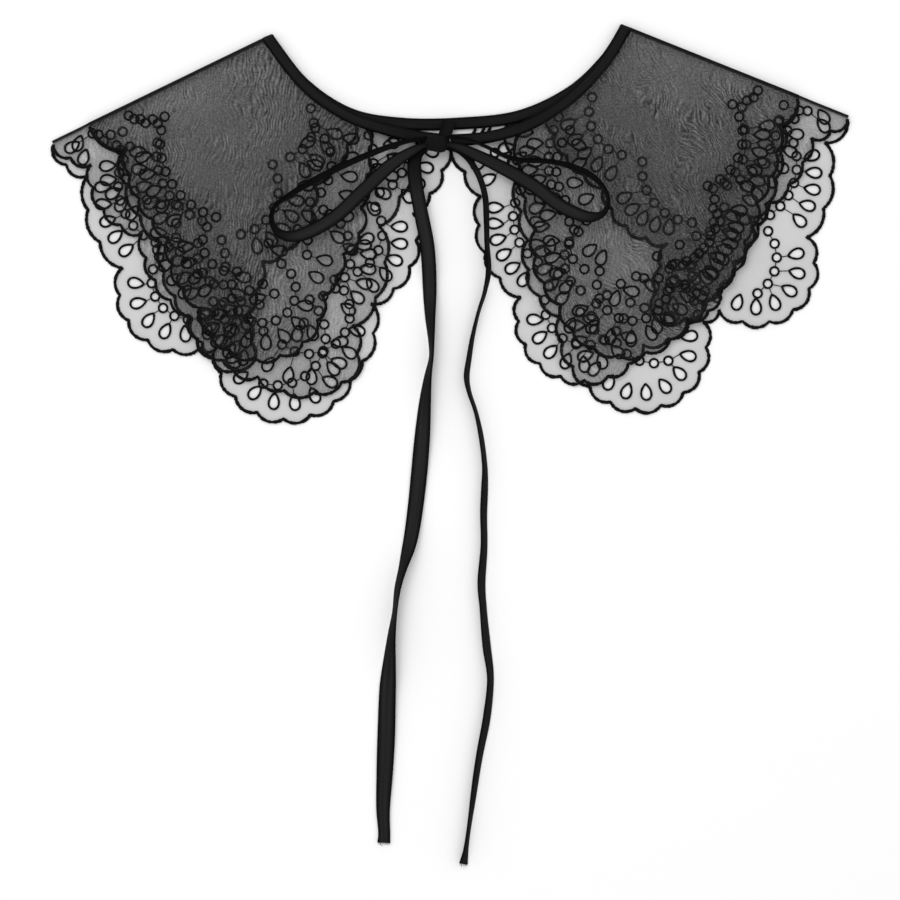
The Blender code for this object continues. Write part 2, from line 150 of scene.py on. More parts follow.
EDGES = {
    ("lower", "left", "back"): each(
        Lobe,
        (-218, 47, 3.5, 2), (-199, 30, 7.5, 3), (-180, -21, 18.5, 5), (-137.5, -64.5, 0.4, 1),
        (-128, -64, 45.5, 9), (-53.5, -53, 9, 3), (-39, 2, 6, 3),
    ),
    ("lower", "left", "front"): each(
        Lobe,
        (-218, 47, 2, 2), (-197, 36, 9, 4), (-169, -2, 6.5, 4), (-143, -47, 9, 4),
        (-105.5, -80.5, 27.5, 6), (-43.5, -40.5, 10.5, 4), (-20.5, 9, 3.5, 3),
    ),
    ("lower", "right", "back"): each(
        Lobe,
        (218.5, 61, 2, 1), (206, 48, 7, 3), (196, -4, 26, 6), (148, -43.5, 0.4, 1),
        (139, -50.5, 29, 7), (77, -86, 5, 3), (61, -47.5, 7, 3), (43, -5.5, 1.5, 4),
    ),
    ("lower", "right", "front"): each(
        Lobe,
        (218.5, 61, 1.5, 2), (198.5, 50.5, 6, 4), (164, 7, 6, 4), (138.5, -39.5, 6, 3),
        (106, -63, 32.5, 8), (39, -37, 9, 4), (17, 18.5, 1, 2),
    ),
    ("upper", "left", "back"): each(
        Lobe,
        (-198, 56.7, 1, 1), (-180.5, 43, 5.5, 3), (-158.5, -7, 4.5, 3), (-142, -48.5, 7, 3),
        (-111, -75.5, 3, 2), (-114, -48.5, 2, 2), (-103.5, -17, 9, 4), (-75.5, 25.5, 4.5, 3),
    ),
    ("upper", "left", "front"): each(
        Lobe,
        (-198, 56.7, 1.5, 1), (-178, 44, 5, 4), (-154, -4.5, 5, 3), (-136.5, -43, 31, 7),
        (-70.5, -36, 2, 2), (-59, -13, 4, 2), (-49, 12, 1.5, 3),
    ),
    ("upper", "right", "back"): each(
        Lobe,
        (191, 72, 0.5, 1), (183, 57, 2, 3), (173.5, 14, 2, 3), (155.5, -17.5, 2, 2),
        (141, -38.5, 5.5, 2), (113, -48.5, 2, 3), (120, -7, 8, 4), (85, 23.5, 6.5, 4),
    ),
    ("upper", "right", "front"): each(
        Lobe,
        (191, 72, 1, 1), (180.5, 57, 3, 3), (168, 15, 5, 4), (146.5, -33, 5, 2),
        (130, -48.5, 24, 6), (61, -41, 5.5, 3), (47.5, 0, 3, 3),
    ),
}

NECK_ENDS = {
    ("lower", "left", "back"): -21.0,
    ("lower", "left", "front"): -1.0,
    ("lower", "right", "back"): 32.0,
    ("lower", "right", "front"): 1.0,
    ("upper", "left", "back"): -52.5,
    ("upper", "left", "front"): -46.0,
    ("upper", "right", "back"): 54.0,
    ("upper", "right", "front"): 38.0,
}

BACK_BAND = each(
    Station,
    (-99.5, 104.5), (-80.5, 80.5), (-55.5, 64), (-27.5, 58.5), (5, 58.5), (38, 62.5), (66, 75.5),
    (85, 93), (96, 110),
)
FRONT_BANDS = {
    "left": each(
        Station,
        (-99.5, 104.5), (-80, 79.5), (-58, 63.5), (-38, 56), (-20, 51.5), (-0.3, 49),
    ),
    "right": each(
        Station,
        (96, 110), (85, 92), (66, 72), (44, 58), (22, 51), (0.3, 49),
    ),
}

# Tape routes: its width, how far it leans from lying flat, and what its lower edge is held above
BOW_LOOPS = {
    "left": each(
        Turn,
        (-12.6, 46.8, 4.5, 50, 1.9), (-21.5, 42.5, 6, 25, 1.9), (-33.5, 34.5, 7.5, 8, 1.2),
        (-48.5, 20.5, 7.7, 2, 0.3), (-63, 7, 7.7, 3, 0), (-79, -2, 7.7, 15, 0),
        (-90.5, -3.5, 7.7, 45, 0), (-97, 2.5, 7.7, 68, 0), (-96.5, 11.5, 7.7, 74, 0),
        (-89, 18, 7.7, 70, 0), (-74, 27, 7.7, 66, 0), (-50.5, 38.5, 7.3, 64, 0),
        (-28, 47, 5.5, 64, 0.8), (-12.6, 50.3, 4.5, 66, 1.6),
    ),
    "right": each(
        Turn,
        (-1.8, 46.8, 4.5, -50, 1.9), (6, 44.5, 5.5, -25, 1.9), (14, 41, 6.5, -8, 1.6),
        (29.5, 33.5, 7.5, -2, 0.6), (46, 24, 7.7, -2, 0), (60, 13.5, 7.7, -8, 0),
        (74, 7.2, 7.7, -30, 0), (83.5, 8.5, 7.7, -60, 0), (86.5, 16.5, 7.7, -74, 0),
        (81.5, 26, 7.7, -72, 0), (70.5, 33, 7.7, -68, 0), (55.5, 37, 7.5, -70, 0),
        (35, 38.5, 6.8, -72, 0), (19, 45.6, 6, -74, 0), (9, 49.3, 5, -72, 0.8),
        (-1.8, 51, 4.5, -66, 1.6),
    ),
}
TIE_ENDS = {
    "left": each(
        Lay,
        (-12.6, 45.2, 4, 5, UPPER_TOP), (-17.5, 42, 6.4, 6, UPPER_TOP),
        (-19.6, 36, 7.8, 12, UPPER_TOP), (-18.8, 24.5, 8, 14, LOWER_TOP),
        (-16.5, 12, 8, 12, LOWER_TOP), (-13, -5.5, 8, 4, LOWER_TOP),
        (-11.8, -16.5, 8, 4, LOWER_TOP), (-11.2, -32, 8, 18, 0), (-10.9, -48, 8, 46, 0),
        (-10.4, -60, 8, 64, 0), (-10.4, -70, 8, 70, 0), (-12.2, -81, 8, 58, 0),
        (-13.9, -96, 8.6, 40, 0), (-15.4, -115.5, 9, 16, 0), (-17, -134, 9, 6, 0),
        (-19.2, -154, 8.6, 6, 0), (-21.9, -171, 8.4, 24, 0), (-25.8, -185, 8.4, 54, 0),
        (-28.8, -197, 8.6, 64, 0), (-30.4, -210, 8.8, 72, 0), (-32.2, -223, 9, 60, 0),
        (-33.4, -239, 9.4, 38, 0), (-34.4, -255, 9.6, 16, 0), (-35.1, -279, 9.8, 6, 0),
        (-36, -300, 9, 6, 0), (-36.8, -318, 7.6, 4, 0), (-36.2, -331, 6.6, 4, 0),
        (-36.4, -337, 7.2, 3, 0),
    ),
    "right": each(
        Lay,
        (-1.8, 45.2, 3.4, -5, UPPER_TOP), (4.5, 43.3, 3.2, -8, UPPER_TOP),
        (10.8, 38, 3.6, -20, LOWER_TOP), (16.2, 29, 4.6, -42, LOWER_TOP),
        (19.4, 18, 5.2, -52, LOWER_TOP), (20, 6, 5.5, -56, LOWER_TOP),
        (20.4, -8, 5.5, -57, LOWER_TOP), (21.3, -22, 5.5, -58, LOWER_TOP), (19.2, -34, 5.5, -66, 0),
        (15.8, -45, 5.5, -68, 0), (12.6, -58.5, 5.5, -66, 0), (10.6, -70, 5.5, -60, 0),
        (9.2, -80.5, 5.5, -54, 0), (10.6, -89, 5.5, -62, 0), (14.4, -100.5, 5.5, -68, 0),
        (17.3, -114.5, 5.5, -60, 0), (19.2, -130, 5.5, -56, 0), (19.1, -142, 5.5, -48, 0),
        (18.5, -156, 5.5, -46, 0), (18.8, -174, 5.5, -46, 0), (17.3, -194, 5.8, -42, 0),
        (18.4, -209, 5.8, -46, 0), (20.2, -229, 6, -42, 0), (22.3, -247, 6, -50, 0),
        (20.4, -267, 6, -46, 0), (16.6, -287, 6, -48, 0), (13.5, -307, 5.6, -54, 0),
        (10.7, -327, 5.4, -62, 0), (8.8, -341, 5.4, -58, 0), (7.4, -348.5, 5.4, -30, 0),
    ),
}
# The fold of tape that the knot leaves over the back of the neckband
KNOT_TUCK = each(
    Spot,
    (-4.2, 49, 7.4), (-2.4, 53, 6.6), (-1.2, 57, 4.7), (-0.8, 60.2, 3.3),
)
LOOP_STEPS = 8
TIE_STEPS = 6


# Sizes and colours that a user would change


class CollarCloth(bpy.types.PropertyGroup):
    cover: FloatProperty(
        name="Thread cover", description="Share of the organza's area that its threads fill",
        default=0.222, min=0.05, max=0.95, subtype="FACTOR",
    )
    opening: FloatProperty(
        name="Eyelet opening",
        description="How far the stitching draws the threads apart inside an eyelet", default=0.66,
        min=0.0, max=1.0, subtype="FACTOR",
    )
    colour: FloatVectorProperty(
        name="Thread colour", description="Colour of the organza's threads",
        default=(0.021, 0.021, 0.022), size=3, min=0.0, max=1.0, subtype="COLOR",
    )
    pitch: FloatProperty(
        name="Weave pitch", description="Distance between neighbouring threads of the organza",
        default=0.0004, min=0.0001, unit="LENGTH",
    )
    shimmer: FloatProperty(
        name="Shimmer", description="Strength of the wavy grain where the layers' weaves cross",
        default=0.86, min=0.0, max=1.0,
    )
    wave: FloatProperty(
        name="Soft wave", description="Height of the soft waves in the laid cloth", default=0.0002,
        min=0.0, unit="LENGTH",
    )


class CollarStitches(bpy.types.PropertyGroup):
    colour: FloatVectorProperty(
        name="Thread colour", description="Colour of the embroidery thread",
        default=(0.006, 0.006, 0.006), size=3, min=0.0, max=1.0, subtype="COLOR",
    )
    edge_width: FloatProperty(
        name="Edge width", description="Width of the corded satin stitch along the scallops",
        default=0.0018, min=0.0004, unit="LENGTH",
    )
    ring: FloatProperty(
        name="Ring",
        description="Diameter of a small eyelet, measured at the middle of its stitching",
        default=0.0048, min=0.001, unit="LENGTH",
    )
    ring_width: FloatProperty(
        name="Ring stitch width", description="Width of the stitching round a small eyelet",
        default=0.0012, min=0.0002, unit="LENGTH",
    )
    ring_pitch: FloatProperty(
        name="Ring pitch", description="Distance between neighbouring small eyelets",
        default=0.0079, min=0.002, unit="LENGTH",
    )
    drop_length: FloatProperty(
        name="Drop length",
        description="Length of a drop shaped eyelet, measured at the middle of its stitching",
        default=0.0088, min=0.002, unit="LENGTH",
    )
    drop_width: FloatProperty(
        name="Drop width",
        description="Width of a drop shaped eyelet, measured at the middle of its stitching",
        default=0.0061, min=0.002, unit="LENGTH",
    )


class CollarTape(bpy.types.PropertyGroup):
    colour: FloatVectorProperty(
        name="Tape colour", description="Colour of the binding and of the tape",
        default=(0.0095, 0.0095, 0.0098), size=3, min=0.0, max=1.0, subtype="COLOR",
    )
    rib: FloatProperty(
        name="Rib", description="Distance between the tape's fine ribs", default=0.0006, min=0.0001,
        unit="LENGTH",
    )
    stitched: BoolProperty(
        name="Edge stitching", description="Run a line of small stitches along the neckband",
        default=True,
    )


class CollarStage(bpy.types.PropertyGroup):
    floor: FloatVectorProperty(
        name="Floor colour", description="Colour of the plain floor", default=(0.93, 0.93, 0.93),
        size=3, min=0.0, max=1.0, subtype="COLOR",
    )
    sky: FloatProperty(
        name="Room light", description="Strength of the even light from all round", default=0.9,
        min=0.0,
    )
    lamp: FloatProperty(
        name="Lamp", description="Power of the large soft lamp", default=14.0, min=0.0,
        unit="POWER",
    )
    lens: FloatProperty(
        name="Lens", description="Focal length of the camera, in millimetres", default=200.0,
        min=20.0,
    )


# Lines and outlines


def metres(x, y, z):
    return Vector(((x - ORIGIN_X) * MM, (y - ORIGIN_Y) * MM, z * MM))


def smooth(rows, steps):
    """Rows read from a smooth curve through the given rows, steps of them to each stretch."""
    kind = type(rows[0])
    ends = [rows[0], *rows, rows[-1]]
    out = []
    for before, here, there, after in zip(ends, ends[1:], ends[2:], ends[3:]):
        for step in range(steps):
            t = step / steps
            weights = (
                (-t + 2 * t**2 - t**3) / 2,
                (2 - 5 * t**2 + 3 * t**3) / 2,
                (t + 4 * t**2 - 3 * t**3) / 2,
                (-(t**2) + t**3) / 2,
            )
            mixed = [
                sum(weight * value for weight, value in zip(weights, column))
                for column in zip(before, here, there, after)
            ]
            out.append(kind(*mixed))
    out.append(rows[-1])
    return out


def in_plan(rows):
    return [Vector((row.x, row.y)) for row in rows]


def directions(points):
    """Unit direction of travel at each point of a line."""
    line = [Vector(point) for point in points]
    ends = [line[0], *line, line[-1]]
    return [(after - before).normalized() for before, after in zip(ends, ends[2:])]


def run_so_far(points):
    """How far along a line each of its points lies."""
    line = [Vector(point) for point in points]
    return [0.0, *accumulate((after - before).length for before, after in zip(line, line[1:]))]


def offset_line(stations, distance):
    """The line moved sideways in plan, to its left where distance is positive."""
    line = in_plan(stations)
    return [point + distance * Vector((-way.y, way.x)) for point, way in zip(line, directions(line))]


def evenly(points, pitch):
    """Points on the line at about this pitch, its two ends among them."""
    line = [Vector(point) for point in points]
    reach = run_so_far(line)
    count = max(1, round(reach[-1] / pitch))
    out = []
    index = 0
    for step in range(count + 1):
        wanted = reach[-1] * step / count
        while index < len(line) - 2 and reach[index + 1] < wanted:
            index += 1
        span = max(reach[index + 1] - reach[index], 1e-9)
        out.append(line[index].lerp(line[index + 1], (wanted - reach[index]) / span))
    return out


def arc_over(start, end, rise, outward_sign):
    """The arc that rises from a chord, to the side that outward_sign gives."""
    chord = end - start
    along = chord.normalized()
    outward = Vector((-along.y, along.x)) * outward_sign
    half = chord.length / 2
    radius = (rise**2 + half**2) / (2 * rise)
    centre = (start + end) / 2 + outward * (rise - radius)
    return Arc(centre, radius, math.atan2(half, radius - rise), outward, along)


def count_along(arc, pitch, least=1):
    return max(least, round(2 * arc.half_angle * arc.radius / pitch))


def on_arc(arc, share, extra=0.0):
    """The point a share of the way along an arc, moved out from its centre by extra."""
    angle = (2 * share - 1) * arc.half_angle
    ray = math.cos(angle) * arc.outward + math.sin(angle) * arc.along
    return arc.centre + (arc.radius + extra) * ray


def scalloped(arc, scallops):
    """One big lobe: an arc set with small scallops that bulge from it."""
    steps = scallops * SCALLOP_STEPS
    points = []
    for step in range(steps):
        bulge = math.sin(math.pi * (step % SCALLOP_STEPS) / SCALLOP_STEPS) ** SCALLOP_ROUNDNESS
        points.append(on_arc(arc, step / steps, SCALLOP_DEPTH * bulge))
    return points


def crests(arc, count, shift=0.5):
    """Steps along a lobe: each step's number, its point on the edge and the way into the panel."""
    for step in range(count):
        crest = on_arc(arc, (step + shift) / count, SCALLOP_DEPTH)
        yield step, crest, (arc.centre - crest).normalized()


def band_side(side, face):
    if face == "front":
        return FRONT_BANDS[side]
    return BACK_BAND if side == "left" else BACK_BAND[::-1]


def neck_edge(side, face, end_x):
    """The panel's neck edge, tucked into the neckband, from the shoulder corner to end_x."""
    line = offset_line(
        smooth(band_side(side, face), BAND_STEPS), AWAY[side] * (BAND_WIDTH / 2 - NECK_TUCK)
    )
    kept = [line[0]]
    for before, point in zip(line, line[1:]):
        if (point.x - end_x) * AWAY[side] > 0:
            kept.append(point)
            continue
        share = (end_x - before.x) / (point.x - before.x)
        kept.append(before.lerp(point, share))
        break
    return kept


def fold_frame(side):
    """The shoulder's corner, the fold's direction, and the way that the fold bulges."""
    wing = WINGS[side]
    corner = Vector(wing.corner)
    along = (Vector(wing.lower_tip) - corner).normalized()
    across = Vector((-along.y, along.x))
    bulge = across if across.y > 0 else -across
    return corner, along, bulge


def half_band_at_fold(side):
    """Half the neckband's width where the fold cuts it aslant, over its two layers."""
    _, along, _ = fold_frame(side)
    halves = []
    for face in FACES:
        way = directions(in_plan(smooth(band_side(side, face), BAND_STEPS)))[0]
        halves.append(BAND_WIDTH / 2 / abs(way.x * along.y - way.y * along.x))
    return max(halves)


def depth_from_fold(points, side):
    """How far into its panel each point lies from the shoulder fold."""
    corner, _, bulge = fold_frame(side)
    return np.maximum((points - np.array(corner)) @ np.array(-bulge), 0.0)


def panel_shape(tier, side, face):
    """A panel's outline in plan: along the fold, round the scalloped edge, and back along the neck."""
    corner, along, _ = fold_frame(side)
    first = corner + along * (half_band_at_fold(side) - NECK_TUCK)
    lobes = EDGES[tier, side, face]
    neck = neck_edge(side, face, NECK_ENDS[tier, side, face])
    cusps = [Vector((lobe.cusp_x, lobe.cusp_y)) for lobe in lobes] + [neck[-1]]
    fold = [first.lerp(cusps[0], step / FOLD_POINTS) for step in range(FOLD_POINTS)]
    edge, arcs = [], []
    for lobe, start, end in zip(lobes, cusps, cusps[1:]):
        arc = arc_over(start, end, lobe.rise, AWAY[side])
        arcs.append((arc, lobe.scallops))
        edge.extend(scalloped(arc, lobe.scallops))
    edge.append(neck[-1])
    outline = fold + edge
    for point in reversed(neck[:-1]):
        offset = point - first
        if offset.length > SHORTEST_EDGE and offset.dot(along) < 0:
            outline.append(point)
    inner_row, between = EYELET_ROWS[tier, face]
    return Panel(outline, plan_array(outline), len(fold), len(edge), arcs, cusps, inner_row, between)


def plan_array(points):
    return np.array([(point[0], point[1]) for point in points], float)


def outside_distance(points, outline):
    """How far each point lies outside a closed outline; negative inside it."""
    spans = np.roll(outline, -1, axis=0) - outline
    squares = np.maximum((spans**2).sum(axis=1), 1e-12)
    level = np.abs(spans[:, 1]) < 1e-9
    slopes = np.where(level, 0.0, spans[:, 0] / np.where(level, 1.0, spans[:, 1]))
    out = []
    for chunk in np.array_split(points, len(points) // 400 + 1):
        offset = chunk[:, None, :] - outline
        share = np.clip((offset * spans).sum(axis=2) / squares, 0.0, 1.0)
        nearest = ((offset - share[..., None] * spans) ** 2).sum(axis=2).min(axis=1)
        crosses = (offset[..., 1] < 0) != (offset[..., 1] < spans[:, 1])
        ahead = offset[..., 0] < offset[..., 1] * slopes
        inside = (crosses & ahead).sum(axis=1) % 2 == 1
        out.append(np.where(inside, -1.0, 1.0) * np.sqrt(nearest))
    return np.concatenate(out)


PANELS = {
    (tier, side, face): panel_shape(tier, side, face)
    for side in WINGS
    for tier, face in LAYERS
}


def layers_under(layer, side, points):
    """How many layers hold up each point of a layer: each counts 1, falling to 0 past its edge."""
    held = np.zeros(len(points))
    for tier, face in LAYERS[:layer]:
        gap = outside_distance(points, PANELS[tier, side, face].plan)
        share = np.clip(gap / DRAPE_REACH, 0.0, 1.0)
        held += 1 - share**2 * (3 - 2 * share)
    return held


def crease_lift(side, points):
    lift = np.zeros(len(points))
    for start, end, width, height in CREASES[side]:
        span = np.subtract(end, start)
        share = (points - start) @ span / (span @ span)
        gap = np.linalg.norm(points - start - share[:, None] * span, axis=1)
        fade = np.clip(1 - (2 * share - 1) ** 2, 0.0, 1.0)
        lift += height * fade * np.exp(-((2 * gap / width) ** 2))
    return lift


def sheet_heights(tier, side, face, points, wave):
    """Heights of one layer of organza, which sinks where nothing lies below it, and what holds it up."""
    layer = LAYERS.index((tier, face))
    held = layers_under(layer, side, points)
    x, y = points[:, 0], points[:, 1]
    swell = np.sin(x / 17 + layer) * np.cos(y / 23 - layer)
    swell = swell + 0.6 * np.sin((x + 1.7 * y) / 11 + 2 * layer)
    return LOWEST_SHEET + LAYER_STEP * held + wave * swell + crease_lift(side, points), held


# Meshes


def put_in_scene(name, data):
    thing = bpy.data.objects.new(name, data)
    bpy.context.scene.collection.objects.link(thing)
    return thing


def add_piece(name, mesh, nodes, material):
    """Puts a piece in the scene in place of its solids."""
    mesh.materials.append(material)
    piece = put_in_scene(name, mesh)
    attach(piece, "root")
    if nodes:
        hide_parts(*nodes)
    return piece


def mesh_from(name, verts, faces, uvs=None):
    mesh = bpy.data.meshes.new(name)
    mesh.from_pydata(verts, [], faces)
    if uvs is not None:
        layer = mesh.uv_layers.new(name="UVMap")
        layer.data.foreach_set("uv", np.asarray(uvs, np.float32).ravel())
    mesh.shade_smooth()
    return mesh


def write_share(mesh, name, values):
    """Gives each of the mesh's points a number, which its finish reads by this name."""
    layer = mesh.attributes.new(name, "FLOAT", "POINT")
    layer.data.foreach_set("value", np.asarray(values, np.float32))


def chance(number):
    """A number from 0 to 1 that looks random, and is the same in every run."""
    return math.sin(12.9898 * number + 4.1) * 43758.5453 % 1.0


class Strands:
    """Gathers swept threads and tapes into one mesh. Its texture runs along them in metres."""

    def __init__(self):
        self.verts, self.faces, self.uvs, self.shaded = [], [], [], {}

    def sweep(self, rings, closed=False, capped=True, length=0.0, across=None, shaded=None):
        """Joins rings of points, all with one count, along a thread. across places them over its width,
        and shaded tells how far each ring turns from the light."""
        first = len(self.verts)
        count = len(rings[0])
        for row, share in enumerate(shaded or ()):
            self.shaded.update({first + row * count + column: share for column in range(count)})
        across = across or [column / count for column in range(count)]
        for ring in rings:
            self.verts.extend(ring)
        spans = len(rings) if closed else len(rings) - 1
        for row in range(spans):
            after = (row + 1) % len(rings)
            u0, u1 = length * row / spans, length * (row + 1) / spans
            for column in range(count):
                beside = (column + 1) % count
                corners = ((row, column), (row, beside), (after, beside), (after, column))
                self.faces.append(tuple(first + ring * count + place for ring, place in corners))
                v0, v1 = across[column], across[beside]
                self.uvs.extend(((u0, v0), (u0, v1), (u1, v1), (u1, v0)))
        if capped and not closed:
            for row, order in ((0, range(count - 1, -1, -1)), (len(rings) - 1, range(count))):
                self.faces.append(tuple(first + row * count + column for column in order))
                self.uvs.extend((length * (row > 0), across[column]) for column in order)

    def thread(self, path, width, height, closed=False, sides=6, uneven=0.0):
        """A flattened thread laid along the path, in millimetres, a little uneven in width and line."""
        path = [Vector(point) for point in path]
        ways = directions(path)
        if closed:
            ways = directions([path[-1], *path, path[0]])[1:-1]
        rings = []
        for number, (point, way) in enumerate(zip(path, ways)):
            across = Vector((-way.y, way.x, 0.0)).normalized()
            up = way.cross(across)
            half = width / 2 * (1 + uneven * (2 * chance(number + len(self.verts)) - 1))
            shift = uneven * 0.5 * (chance(3 * number + 7 + len(self.verts)) - 0.5)
            ring = []
            for side in range(sides):
                angle = 2 * math.pi * side / sides
                reach = across * (math.cos(angle) * half + shift)
                ring.append(metres(*(point + reach + up * (math.sin(angle) * height / 2))))
            rings.append(ring)
        self.sweep(rings, closed=closed, length=run_so_far(path)[-1] * MM)

    def mesh(self, name):
        mesh = mesh_from(name, [tuple(v) for v in self.verts], self.faces, self.uvs)
        write_share(mesh, "shaded", [self.shaded.get(i, 0.0) for i in range(len(self.verts))])
        return mesh


# Shader helpers


def wire(tree, node, inputs):
    """Sets a node's inputs, each to a number or colour or to another node's output."""
    for key, value in inputs.items():
        if isinstance(value, bpy.types.NodeSocket):
            tree.links.new(value, node.inputs[key])
        else:
            node.inputs[key].default_value = value


def outputs_of(tree, kind, inputs, **settings):
    """The outputs of a new shader node."""
    node = tree.nodes.new("ShaderNode" + kind)
    for name, value in settings.items():
        setattr(node, name, value)
    wire(tree, node, inputs)
    return node.outputs


def maths(tree, operation, first, second=0.0, third=0.0):
    return outputs_of(tree, "Math", {0: first, 1: second, 2: third}, operation=operation)[0]


def ranged(tree, value, low, high, to_low, to_high):
    given = (value, low, high, to_low, to_high)
    return outputs_of(tree, "MapRange", dict(enumerate(given)))[0]


def noise(tree, vector, scale, detail, output="Fac"):
    inputs = {"Vector": vector, "Scale": scale, "Detail": detail}
    return outputs_of(tree, "TexNoise", inputs)[output]


def mixed(tree, first, much, second, less):
    """Two patterns laid together, each in its share."""
    parts = (maths(tree, "MULTIPLY", first, much), maths(tree, "MULTIPLY", second, less))
    return maths(tree, "ADD", *parts)


def bands(tree, vector, wavelength, direction, distortion=0.0, detail_scale=1.0):
    """Soft bands whose crests are this many metres apart."""
    inputs = {"Vector": vector, "Scale": 2 * math.pi / 20 / wavelength}
    inputs.update({"Distortion": distortion, "Detail Scale": detail_scale})
    return outputs_of(tree, "TexWave", inputs, bands_direction=direction)["Fac"]


def attribute(tree, name):
    return outputs_of(tree, "Attribute", {}, attribute_name=name)["Fac"]


def place_of(tree):
    return outputs_of(tree, "TexCoord", {})["Object"]


def run_of(tree):
    """Where a point lies along a thread or tape and across it."""
    return outputs_of(tree, "TexCoord", {})["UV"]


def turned(tree, vector, angle, scale=(1.0, 1.0, 1.0)):
    inputs = {"Vector": vector, "Rotation": (0.0, 0.0, angle), "Scale": scale}
    return outputs_of(tree, "Mapping", inputs)["Vector"]


def bump(tree, height, distance, strength):
    inputs = {"Strength": strength, "Distance": distance, "Height": height}
    return outputs_of(tree, "Bump", inputs)["Normal"]


def tinted(tree, amount, colour, low, high):
    """The colour made darker or lighter, from low to high times its own."""
    dark, light = (shade(colour, factor) for factor in (low, high))
    return outputs_of(tree, "Mix", {0: amount, 6: dark, 7: light}, data_type="RGBA")[2]


def shade(colour, factor):
    return (*(min(1.0, channel * factor) for channel in colour), 1.0)


def new_finish(name, roughness, sheen, specular):
    """A material with its even gloss set on the shader itself."""
    material = bpy.data.materials.new(name)
    material.use_nodes = True
    shader = material.node_tree.nodes["Principled BSDF"]
    shader.inputs["Roughness"].default_value = roughness
    shader.inputs["Sheen Weight"].default_value = sheen
    shader.inputs["Sheen Roughness"].default_value = 0.4
    shader.inputs["Specular IOR Level"].default_value = specular
    return material, material.node_tree, shader


def organza_finish(name, cloth, weave_angle, grain_angle, drift):
    """Sheer organza: fine threads with gaps, closed up at the fold, wavy in grain over other layers."""
    material, tree, shader = new_finish(name, 0.55, 0.01, 0.03)
    place = place_of(tree)
    woven = turned(tree, place, weave_angle)
    warp = bands(tree, woven, cloth.pitch, "X")
    weft = bands(tree, woven, cloth.pitch, "Y")
    weave = maths(tree, "MULTIPLY", maths(tree, "ADD", warp, weft), 0.5)
    grain = watered_grain(tree, place, grain_angle, drift)
    grain = maths(tree, "MULTIPLY", grain, attribute(tree, "over"))
    cover = maths(tree, "MULTIPLY_ADD", maths(tree, "SUBTRACT", weave, 0.5), 0.12, cloth.cover)
    cover = maths(tree, "SUBTRACT", cover, maths(tree, "MULTIPLY", grain, cloth.shimmer))
    cover = maths(tree, "ADD", cover, attribute(tree, "closed"))
    uneven = maths(tree, "SUBTRACT", noise(tree, place, 35.0, 3.0), 0.5)
    cover = maths(tree, "ADD", cover, maths(tree, "MULTIPLY", uneven, 0.06))
    opened = ranged(tree, attribute(tree, "opened"), 0.0, 1.0, 1.0, 1.0 - cloth.opening)
    cover = maths(tree, "MULTIPLY", ranged(tree, cover, 0.04, 0.96, 0.04, 0.96), opened)
    alpha = ranged(tree, attribute(tree, "dense"), 0.0, 1.0, cover, 0.97)
    light = ranged(tree, grain, -0.5, 0.5, 0.0, 1.0)
    light = maths(tree, "MULTIPLY", light, maths(tree, "SUBTRACT", 1.0, attribute(tree, "dense")))
    colour = tinted(tree, light, cloth.colour, 0.22, 1.95)
    normal = bump(tree, weave, 0.00006, 0.6)
    wire(tree, shader, {"Base Color": colour, "Alpha": alpha, "Normal": normal})
    return material


def watered_grain(tree, place, angle, drift):
    """The wood-like figure that two fine weaves make where one lies over the other."""
    clouds = noise(tree, place, 34.0, 2.5, "Color")
    inputs = {0: clouds, 1: (drift, drift, 0.0), 2: place}
    swirl = outputs_of(tree, "VectorMath", inputs, operation="MULTIPLY_ADD")[0]
    fine = bands(tree, turned(tree, swirl, angle), 0.0020, "X", 2.6, 6.0)
    broad = bands(tree, turned(tree, swirl, angle + 0.4), 0.0046, "X", 3.6, 3.0)
    figure = mixed(tree, fine, 0.65, broad, 0.35)
    figure = ranged(tree, figure, 0.2, 0.8, -0.5, 0.5)
    streaks = noise(tree, turned(tree, place, angle, (900.0, 160.0, 1.0)), 1.0, 2.0)
    speckle = ranged(tree, streaks, 0.34, 0.66, 0.0, 1.3)
    patchy = ranged(tree, noise(tree, place, 42.0, 3.0), 0.38, 0.62, 0.15, 1.0)
    figure = maths(tree, "MULTIPLY", figure, maths(tree, "MULTIPLY", speckle, patchy))
    grit = ranged(tree, noise(tree, place, 1100.0, 1.0), 0.3, 0.7, -0.26, 0.26)
    return maths(tree, "ADD", figure, grit)


def thread_finish(name, colour):
    """Satin stitch: thread laid across the line, with a low sheen."""
    material, tree, shader = new_finish(name, 0.6, 0.01, 0.03)
    uneven = ranged(tree, noise(tree, place_of(tree), 900.0, 2.0), 0.3, 0.7, 0.5, 1.0)
    laid = maths(tree, "MULTIPLY", bands(tree, run_of(tree), 0.00035, "X"), uneven)
    normal = bump(tree, laid, 0.00008, 0.7)
    wire(tree, shader, {"Base Color": tinted(tree, laid, colour, 0.5, 1.6), "Normal": normal})
    return material


